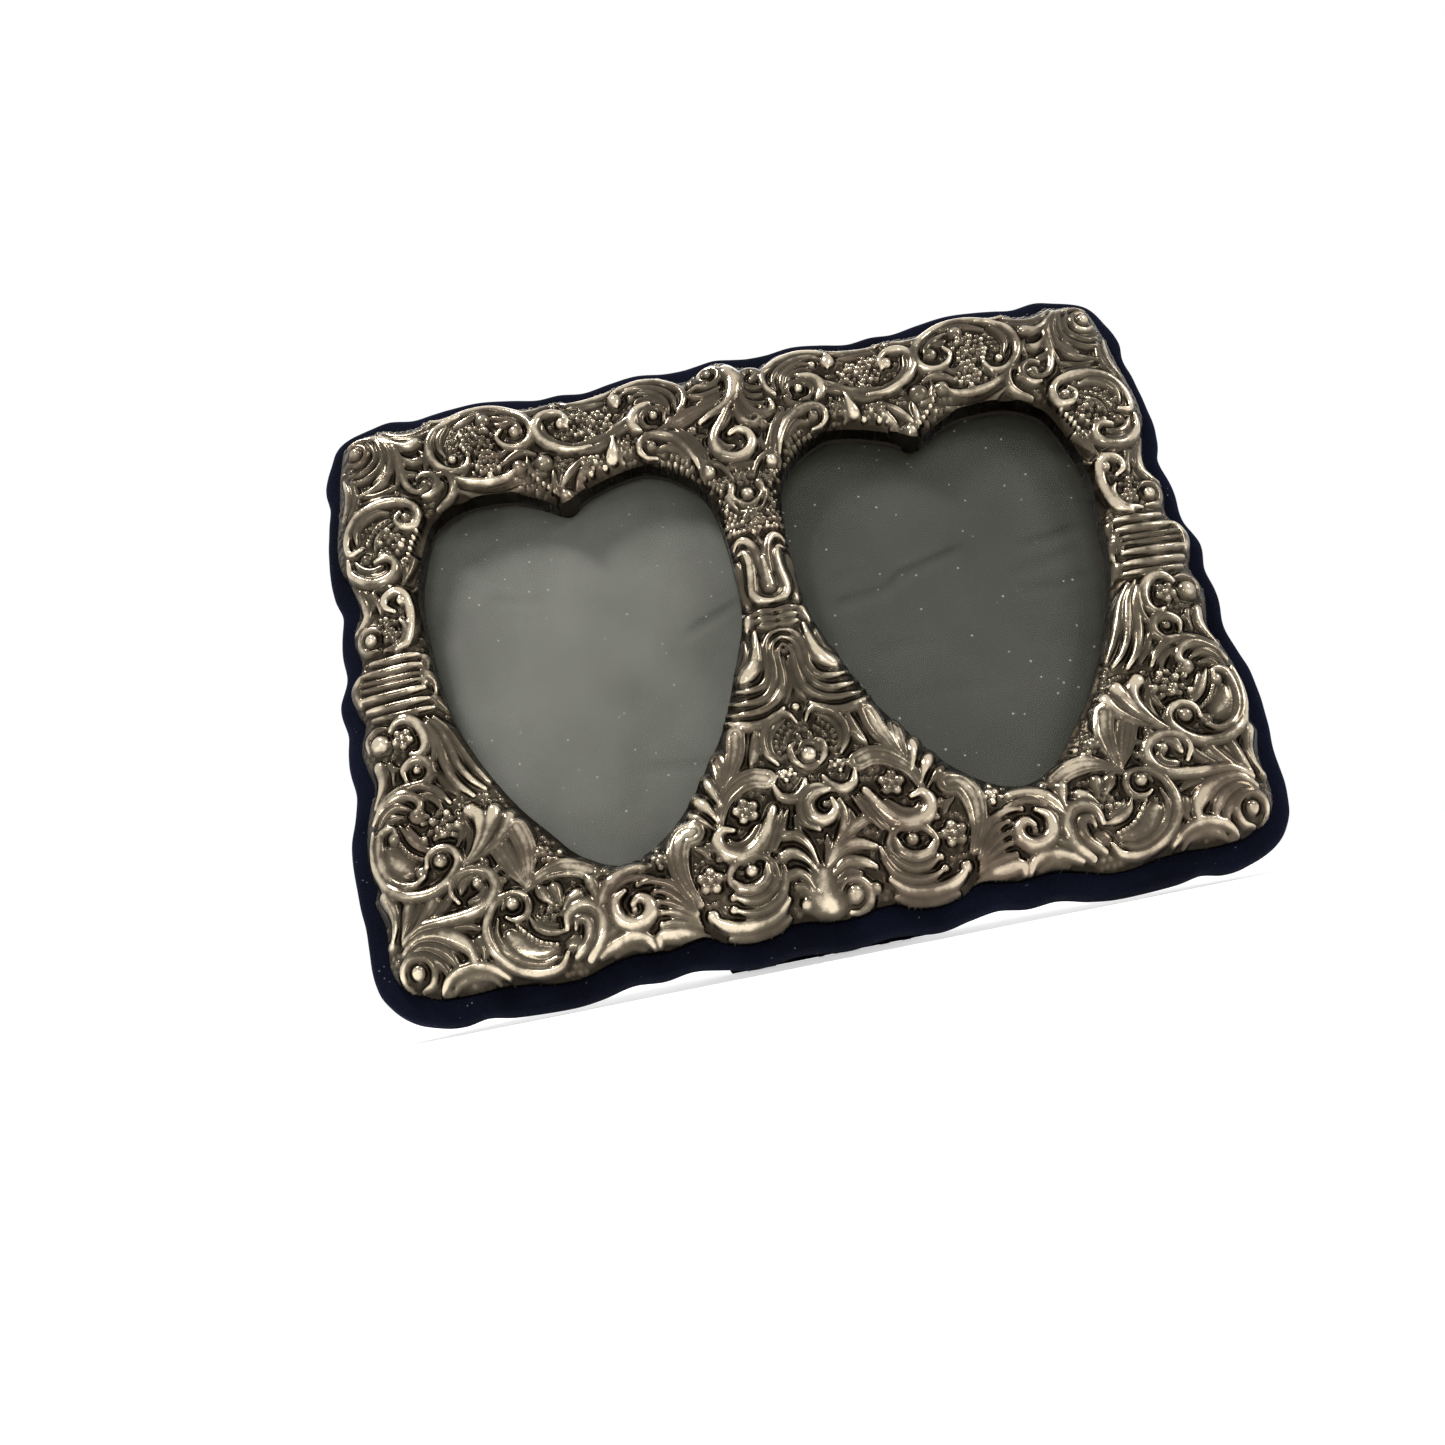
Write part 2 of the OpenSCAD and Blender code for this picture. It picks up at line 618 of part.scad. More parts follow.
// One knuckle of the strut's leaf, seen from the side, with the strip that
// joins it to the leaf and the tongue that stops against the panel's leaf
module strut_knuckle() {
    tongue_z = -hinge_z - leaf_t - stop_gap - leaf_t;
    rotate([90, 0, 90]) linear_extrude(knuckle_pitch - knuckle_gap) difference() {
        union() {
            circle(r = knuckle_r, $fn = 48);
            translate([strut_top - leaf_t, 0]) square([leaf_t - strut_top, leaf_t]);
            rotate(-open_angle) translate([0, tongue_z]) square([stop_l, leaf_t]);
        }
        circle(r = pin_r + pin_play, $fn = 48);
    }
}

module hinge_leaf_strut() {
    color("silver") stand() opened() difference() {
        union() {
            for (k = [1:2:knuckle_count - 1])
                translate([-hinge_w / 2 + k * knuckle_pitch + knuckle_gap / 2, 0, 0])
                    strut_knuckle();
            translate([-hinge_w / 2, -leaf_l, 0])
                cube([hinge_w, leaf_l + strut_top, leaf_t]);
        }
        at_strut_rivets() translate([0, 0, -over])
            cylinder(h = leaf_t + 2 * over, r = rivet_r + shank_play, $fn = 32);
    }
}

module strut_rivets() {
    color("gainsboro") stand() opened() at_strut_rivets() {
        translate([0, 0, skin_t - strut_t])
            cylinder(h = strut_t - skin_t + leaf_t, r = rivet_r, $fn = 32);
        translate([0, 0, leaf_t])
            cylinder(h = rivet_head_t, r = rivet_head_r, $fn = 32);
        translate([0, 0, skin_t - strut_t])
            cylinder(h = rivet_head_t, r = rivet_head_r, $fn = 32);
    }
}

// The strut's tapered slab, drawn in by a margin: straight sides from the hinge
// to the foot, and round corners at the foot
module strut_body(margin) {
    half_top = strut_top_w / 2 - margin;
    half_foot = strut_foot_w / 2 - margin;
    corner = foot_r - margin;
    right = concat([[half_top, strut_top - margin]],
        [for (i = [0:foot_arc_steps]) let (a = -90 * i / foot_arc_steps)
            [half_foot - corner + corner * cos(a), margin - strut_l + corner + corner * sin(a)]]);
    left = [for (i = [len(right) - 1:-1:0]) [-right[i][0], right[i][1]]];
    slab(concat(right, left), margin - strut_t, strut_t - 2 * margin);
}

module strut_board() {
    color("peru") stand() opened() difference() {
        strut_body(skin_t);
        foot_cut(skin_t);
        at_strut_rivets() {
            translate([0, 0, -strut_t - over])
                cylinder(h = strut_t + 2 * over, r = rivet_r + shank_play, $fn = 32);
            translate([0, 0, skin_t - strut_t - over])
                cylinder(h = rivet_head_t + over, r = rivet_head_r + shank_play, $fn = 32);
        }
    }
}

// Cuts the foot level with the ground when the strut is open
module foot_cut(margin) {
    translate([0, -strut_l, -strut_t]) rotate([-foot_angle, 0, 0])
        translate([-strut_foot_w, margin - strut_l, -strut_l])
            cube([2 * strut_foot_w, strut_l, 2 * strut_l]);
}

module strut_velvet() {
    color("midnightblue") stand() opened() difference() {
        strut_body(0);
        foot_cut(0);
        difference() {
            strut_body(skin_t);
            foot_cut(skin_t);
        }
        at_strut_rivets() translate([0, 0, -skin_t - over])
            cylinder(h = skin_t + 2 * over, r = rivet_r + shank_play, $fn = 32);
    }
}

front_casing();
filler_board();
fixing_brads();
glass_left();
glass_right();
insert_left();
insert_right();
pressure_card();
core_board();
velvet_cover();
back_panel_board();
back_panel_velvet();
pull_tab();
hinge_leaf_panel();
panel_rivets();
hinge_pin();
hinge_leaf_strut();
strut_rivets();
strut_board();
strut_velvet();
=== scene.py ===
"""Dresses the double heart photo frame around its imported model.

A cast, silver-plated front of scrolls, shells and leaves with two heart windows lies
on a velvet-covered body, which stands on a velvet strut behind a lift-out back panel.
"""

from __future__ import annotations

import logging
import math
from dataclasses import dataclass, field
from enum import Enum

import bmesh
import bpy
import numpy as np
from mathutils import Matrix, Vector


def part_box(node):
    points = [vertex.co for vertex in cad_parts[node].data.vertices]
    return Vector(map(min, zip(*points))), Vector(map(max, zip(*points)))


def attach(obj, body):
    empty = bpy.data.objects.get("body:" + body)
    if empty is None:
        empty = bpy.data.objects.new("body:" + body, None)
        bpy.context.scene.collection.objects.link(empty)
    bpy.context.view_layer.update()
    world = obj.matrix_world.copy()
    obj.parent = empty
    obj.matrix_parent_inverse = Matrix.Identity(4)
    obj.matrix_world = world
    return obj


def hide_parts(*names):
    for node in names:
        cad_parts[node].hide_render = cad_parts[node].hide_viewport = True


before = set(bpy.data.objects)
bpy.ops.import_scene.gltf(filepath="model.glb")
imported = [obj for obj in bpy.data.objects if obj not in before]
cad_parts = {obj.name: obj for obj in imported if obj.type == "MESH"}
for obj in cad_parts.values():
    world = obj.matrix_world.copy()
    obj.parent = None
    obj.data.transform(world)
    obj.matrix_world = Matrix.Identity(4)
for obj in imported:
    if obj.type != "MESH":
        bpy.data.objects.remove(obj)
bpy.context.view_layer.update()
LOG = logging.getLogger("photo_frame")
MM = 0.001
# The seed of all random draws: jittered berries and beads, turned flowers, uneven metal.
SEED = 11
# The spacing of the casting's grid, in mm.
PITCH = 0.25
Colour = tuple[float, float, float]
Socket = bpy.types.NodeSocket


@dataclass(frozen=True)
class Lean:
    """The frame's own plane: x right, v up along it and n out of its front, in mm."""

    angle: float = math.radians(13)
    rise: float = 69.214
    middle: float = 5.193

    def world(self, x: np.ndarray, v: np.ndarray, n: np.ndarray | float) -> np.ndarray:
        """Turns plane coordinates into points.

        Args:
            x, v, n: Coordinates in the plane of the frame, in mm.

        Returns:
            Points in the shared frame, in metres, one row each.
        """
        s, c = math.sin(self.angle), math.cos(self.angle)
        x, v, n = np.broadcast_arrays(np.asarray(x, float), v, n)
        return np.stack([x, v * s - n * c - self.middle, v * c + n * s + self.rise], -1) * MM

    def ring(self, points: np.ndarray, n: float) -> np.ndarray:
        """Lifts flat points of x and v to n, as points in the shared frame."""
        return self.world(points[:, 0], points[:, 1], n)

    def plane(self, points: np.ndarray) -> tuple[np.ndarray, np.ndarray, np.ndarray]:
        """Turns points in metres back into x, v and n in mm.

        Args:
            points: Points in the shared frame, one row each.

        Returns:
            Their x, v and n.
        """
        s, c = math.sin(self.angle), math.cos(self.angle)
        x, y, z = np.asarray(points, float).T / MM
        y, z = y + self.middle, z - self.rise
        return x, y * s + z * c, z * s - y * c


LEAN = Lean()


def points_of(mesh: bpy.types.Mesh) -> np.ndarray:
    """Reads a mesh's points.

    Args:
        mesh: The mesh.

    Returns:
        Its points, one row each.
    """
    flat = np.empty(len(mesh.vertices) * 3)
    mesh.vertices.foreach_get("co", flat)
    return flat.reshape(-1, 3)


def values_of(mesh: bpy.types.Mesh, name: str) -> np.ndarray:
    """Reads the number that a mesh holds for each point under a name.

    Args:
        mesh: The mesh.
        name: The name.

    Returns:
        One number a point.
    """
    values = np.empty(len(mesh.vertices))
    mesh.attributes[name].data.foreach_get("value", values)
    return values


def set_values(mesh: bpy.types.Mesh, name: str, values: np.ndarray) -> None:
    """Gives each point of a mesh a number, which a finish can read by its name."""
    held = mesh.attributes.get(name) or mesh.attributes.new(name, "FLOAT", "POINT")
    held.data.foreach_set("value", values.astype(np.float32))


def select_only(piece: bpy.types.Object) -> None:
    """Makes a piece the active one, and the only one that is selected.

    Args:
        piece: The piece.
    """
    bpy.ops.object.select_all(action="DESELECT")
    bpy.context.view_layer.objects.active = piece
    piece.select_set(True)


def skin(name: str, rows: list[np.ndarray], rows_close: bool, columns_close: bool) -> bpy.types.Object:
    """Skins rows of the same number of points, in metres, with quads.

    Args:
        name: The piece's name.
        rows: Rows of points, one after another.
        rows_close: Whether the last row joins the first.
        columns_close: Whether the last point of a row joins the first.

    Returns:
        The new piece, the only selected one.
    """
    total, count = len(rows), len(rows[0])
    faces = [
        [k % total * count + i % count for k, i in ((a, b), (a, b + 1), (a + 1, b + 1), (a + 1, b))]
        for a in range(total if rows_close else total - 1)
        for b in range(count if columns_close else count - 1)
    ]
    mesh = bpy.data.meshes.new(name)
    mesh.from_pydata(np.vstack(rows).tolist(), [], faces)
    piece = bpy.data.objects.new(name, mesh)
    bpy.context.scene.collection.objects.link(piece)
    select_only(piece)
    return piece


def face_outward() -> None:
    """Turns the faces of the piece in edit mode outward."""
    bpy.ops.mesh.select_all(action="SELECT")
    bpy.ops.mesh.normals_make_consistent(inside=False)


def skin_rings(name: str, rings: list[np.ndarray], rings_close: bool = False) -> bpy.types.Object:
    """Skins closed rings of points, facing outward and shaded smooth.

    Args:
        name: The piece's name.
        rings: Rings of points, in metres, one after another.
        rings_close: Whether the last ring joins the first.

    Returns:
        The new piece.
    """
    piece = skin(name, rings, rings_close, True)
    bpy.ops.object.mode_set(mode="EDIT")
    face_outward()
    bpy.ops.object.mode_set(mode="OBJECT")
    bpy.ops.object.shade_smooth()
    return piece


def add_grid(name: str, columns: int, rows: int) -> tuple[bpy.types.Object, np.ndarray]:
    """Adds a flat grid, whose points are placed afterwards.

    Args:
        name: The piece's name.
        columns, rows: The number of faces across and up.

    Returns:
        The new piece, and how far each point is across and up, from 0 to 1.
    """
    bpy.ops.object.select_all(action="DESELECT")
    bpy.ops.mesh.primitive_grid_add(x_subdivisions=columns, y_subdivisions=rows, size=2)
    piece = bpy.context.object
    piece.name = piece.data.name = name
    return piece, (points_of(piece.data)[:, :2] + 1) / 2


def apply_modifier(piece: bpy.types.Object, kind: str, **settings: float) -> None:
    """Adds a modifier to a piece, applies it and shades the piece smooth.

    Args:
        piece: The piece.
        kind: The modifier's type.
        settings: Its settings, by name.
    """
    select_only(piece)
    modifier = piece.modifiers.new(kind.lower(), kind)
    for key, value in settings.items():
        setattr(modifier, key, value)
    bpy.ops.object.modifier_apply(modifier=modifier.name)
    bpy.ops.object.shade_smooth()


def smooth_curve(points: np.ndarray, step: float, closed: bool = False) -> np.ndarray:
    """Draws a smooth curve through points.

    Args:
        points: The points it passes, one row each.
        step: Spacing of the result, in mm.
        closed: Whether it joins its start.

    Returns:
        The points of the curve, one row each.
    """
    p = np.asarray(points, float)
    if closed:
        e = np.vstack([p[-1:], p, p[:2]])
    else:
        e = np.vstack([2 * p[0] - p[1], p, 2 * p[-1] - p[-2]])
    out = []
    for a, b, c, d in zip(e, e[1:], e[2:], e[3:]):
        n = max(2, int(np.hypot(*(c - b)) / step))
        t = (np.arange(n) / n)[:, None]
        out.append((2 * b + (c - a) * t + (2 * a - 5 * b + 4 * c - d) * t * t + (3 * b - a - 3 * c + d) * t**3) / 2)
    if not closed:
        out.append(p[-1:])
    return np.vstack(out)


def run_along(curve: np.ndarray) -> np.ndarray:
    """How far along a curve each of its points is."""
    return np.r_[0, np.cumsum(np.hypot(*np.diff(curve, axis=0).T))]


def even(curve: np.ndarray, count: int) -> np.ndarray:
    """Spaces points evenly along a closed curve.

    Args:
        curve: The curve's points, one row each.
        count: How many points to place.

    Returns:
        The new points, one row each.
    """
    loop = np.vstack([curve, curve[:1]])
    s = run_along(loop)
    at = np.arange(count) / count * s[-1]
    return np.stack([np.interp(at, s, loop[:, 0]), np.interp(at, s, loop[:, 1])], 1)


def mirrored_loop(half: list[tuple[float, float]]) -> np.ndarray:
    """Joins a right half, from top centre to bottom centre, to its mirror image."""
    p = np.array(half, float)
    return np.vstack([p, (p[::-1] * [-1, 1])[1:-1]])


def normals_of(loop: np.ndarray) -> np.ndarray:
    """Outward normals of a closed curve, whichever way round it runs.

    Args:
        loop: The curve's points, one row each.

    Returns:
        One normal a point.
    """
    along = np.roll(loop, -2, axis=0) - np.roll(loop, 2, axis=0)
    out = np.stack([along[:, 1], -along[:, 0]], 1) / np.hypot(*along.T)[:, None]
    return out if (out * (loop - loop.mean(0))).sum() > 0 else -out


def rounded_rectangle(half_w: float, half_h: float, r: float, step: float) -> np.ndarray:
    """Spaces points evenly round a rectangle with rounded corners about 0, 0.

    Args:
        half_w, half_h: Half its width and half its height.
        r: The corners' radius.
        step: About how far apart the points are.

    Returns:
        The points, one row each.
    """
    corners = [
        (sx * (half_w - r) + r * math.cos(a), sy * (half_h - r) + r * math.sin(a))
        for sx, sy, a0 in ((1, 1, 0), (-1, 1, 90), (-1, -1, 180), (1, -1, 270))
        for a in np.radians(a0 + np.arange(0, 91, 15))
    ]
    return even(np.array(corners), int(2 * (half_w + half_h) / step) // 4 * 4)


def bell(gap: np.ndarray, width: np.ndarray | float) -> np.ndarray:
    """A smooth bump: 1 where the gap is 0, and falling off over the width."""
    return np.exp(-((gap / width) ** 2))


# The right half of the metal's outline and of the velvet's, from top centre to bottom centre: x and v in mm.
METAL_EDGE = [
    (0, 86.6), (3, 86.1), (5.5, 84.2), (9.5, 82.8), (12.5, 83.8), (16, 85.6), (20.5, 86), (25, 85.4), (28.5, 84.6),
    (32, 83.6), (38, 82.9), (44, 83.7), (49, 83.4), (53, 83.7), (57, 85.2), (62, 86.4), (67, 86.5), (71, 85.6),
    (75, 84.8), (77.5, 85.2), (80, 83.8), (84, 83.5), (87.5, 84.6), (90, 84.6), (92.5, 83.9), (96, 83.2),
    (98.8, 81.3), (99.9, 78.5), (100.5, 75), (101.1, 71.5), (101.4, 67), (101.8, 62), (102.6, 56), (103, 51),
    (102.6, 45.5), (100.8, 40.5), (99.1, 35.5), (99, 31), (100.3, 27.5), (100.6, 23), (99.4, 18.5), (99.8, 16),
    (101.8, 13), (102.1, 9.5), (101.2, 5), (99.8, 1.5), (100.8, -2.5), (101, -6), (100, -10), (98.9, -14.5),
    (100.2, -19), (101.4, -25), (101.7, -31), (101, -36), (100.2, -38.5), (100.8, -41.5), (99.7, -45),
    (98.8, -49), (98.9, -55), (98, -59), (95.5, -62.5), (91.5, -64.4), (87.5, -65.7), (82, -65.8), (76, -65.6),
    (70, -66), (64, -67), (58, -67), (52.5, -65.4), (47, -64.4), (42, -64.7), (38, -64.8), (33, -63.9),
    (29.5, -63.8), (26, -65.8), (20.5, -66.9), (15, -66.2), (11.5, -64.7), (8, -64.6), (4, -65.6), (0, -65.8),
]
VELVET_EDGE = [
    (0, 90.3), (5, 89.5), (9, 88.9), (14, 89), (21, 90), (28, 89.1), (35.5, 87.6), (42, 88.4), (48, 88.1),
    (55, 89.5), (63, 90.7), (70, 90.4), (76, 89.6), (81, 88.8), (87.4, 89.7), (92.9, 88.4), (98.4, 86.5),
    (101.9, 83.7), (104.1, 78.4), (105.8, 71.9), (105.1, 65.9), (105.9, 57.9), (106.5, 47), (105.7, 39.5),
    (104, 33.5), (104.8, 25), (104.2, 16), (106.2, 9), (105, 1.5), (105.4, -6), (104.1, -15), (106.1, -27),
    (105.7, -37), (104.3, -47), (103.8, -55), (101.9, -62), (97.4, -67.2), (91.4, -69.7), (85.9, -70.6),
    (80.4, -69.8), (73.9, -70.8), (62, -71.3), (55, -70.6), (48, -69.1), (41, -69.5), (34.5, -68.6),
    (28, -69.5), (20.5, -70.8), (10.5, -69.8), (0, -70.8),
]
# The outline of the right window. The left one mirrors it.
HEART = [
    (79.3, 51.5), (82.3, 42.2), (83.7, 34), (83.4, 25.2), (82, 12.2), (79.5, 0.5), (76, -8.6), (72, -16.8),
    (66, -26.5), (60, -33.8), (55.5, -39.1), (50, -42.9), (44.5, -44.1), (38, -41.7), (32, -37.1), (27.5, -32.1),
    (23.5, -26.1), (19, -19.4), (15.8, -12.8), (13, -5.4), (10.3, 2), (8, 9), (7.1, 17.2), (7, 26.2), (7.4, 34.2),
    (8.4, 42.2), (10.6, 48.8), (15.5, 54), (20, 57), (25, 58.4), (31, 57.4), (36.5, 55.6), (40.6, 53.6),
    (43.2, 51.2), (45.6, 51), (49, 53.1), (53, 55.5), (57.5, 57.4), (64, 58), (70.5, 57.5), (75.5, 55.2),
]


class Side(Enum):
    """The two windows, by the sign of x."""

    LEFT = -1
    RIGHT = 1


def heart_loop(side: Side, step: float = 0.2) -> np.ndarray:
    """The outline of one window, smooth and closed."""
    return smooth_curve(np.array(HEART) * [side.value, 1], step, True)


class Cut(Enum):
    """The ways in which a stroke of the ornament stands up from its ground."""

    ROUND = "round"
    DISH = "dish"
    BALL = "ball"
    GROOVE = "groove"
    CHAIN = "chain"
    BERRIES = "berries"
    FLOWER = "flower"


@dataclass(frozen=True)
class Stroke:
    """One stroke of the ornament: its way, its points, its radii or counts, its height."""

    cut: Cut
    points: tuple[float, ...]
    sizes: tuple[float, ...]
    height: float


# How a stroke's radius changes from its start to its end, as shares of its full radius.
RIDGE = (0.4, 0.8, 1.0, 1.08, 1.0, 0.85, 0.5)
HORN = (0.3, 0.45, 0.65, 0.85, 1.0, 0.98)
LEAF = (0.3, 0.5, 0.75, 0.95, 1.0, 1.0)
GROOVE = (0.5, 1.0, 0.5)


def radii(r: float, shares: tuple[float, ...]) -> tuple[float, ...]:
    """The radii along a stroke of full radius r."""
    return tuple(share * r for share in shares)


def ridge(r: float, h: float, *xy: float) -> Stroke:
    """A rounded ridge, thinner at both ends."""
    return Stroke(Cut.ROUND, xy, radii(1.45 * r + 0.2, RIDGE), h)


def horn(r: float, h: float, *xy: float) -> Stroke:
    """A plump leaf or drop that starts thin and ends in a round head."""
    return Stroke(Cut.ROUND, xy, radii(1.2 * r + 0.2, HORN), h)


def dish(r: float, h: float, *xy: float) -> Stroke:
    """A leaf with a hollow along its middle."""
    return Stroke(Cut.DISH, xy, radii(1.15 * r + 0.15, LEAF), h)


def ball(r: float, h: float, x: float, v: float) -> Stroke:
    """A round knob."""
    return Stroke(Cut.BALL, (x, v), (r,), h)


def cut(r: float, h: float, *xy: float) -> Stroke:
    """A groove."""
    return Stroke(Cut.GROOVE, xy, radii(r, GROOVE), h)


def chain(r: float, h: float, n: int, *xy: float) -> Stroke:
    """A row of n beads along a curve."""
    return Stroke(Cut.CHAIN, xy, (r, n), h)


def berries(r: float, h: float, x: float, v: float, rx: float, rv: float) -> Stroke:
    """A heap of berries in an oval."""
    return Stroke(Cut.BERRIES, (x, v), (r, rx, rv), h)


def flower(r: float, h: float, x: float, v: float) -> Stroke:
    """A flower of five petals round its middle."""
    return Stroke(Cut.FLOWER, (x, v), (r,), h)


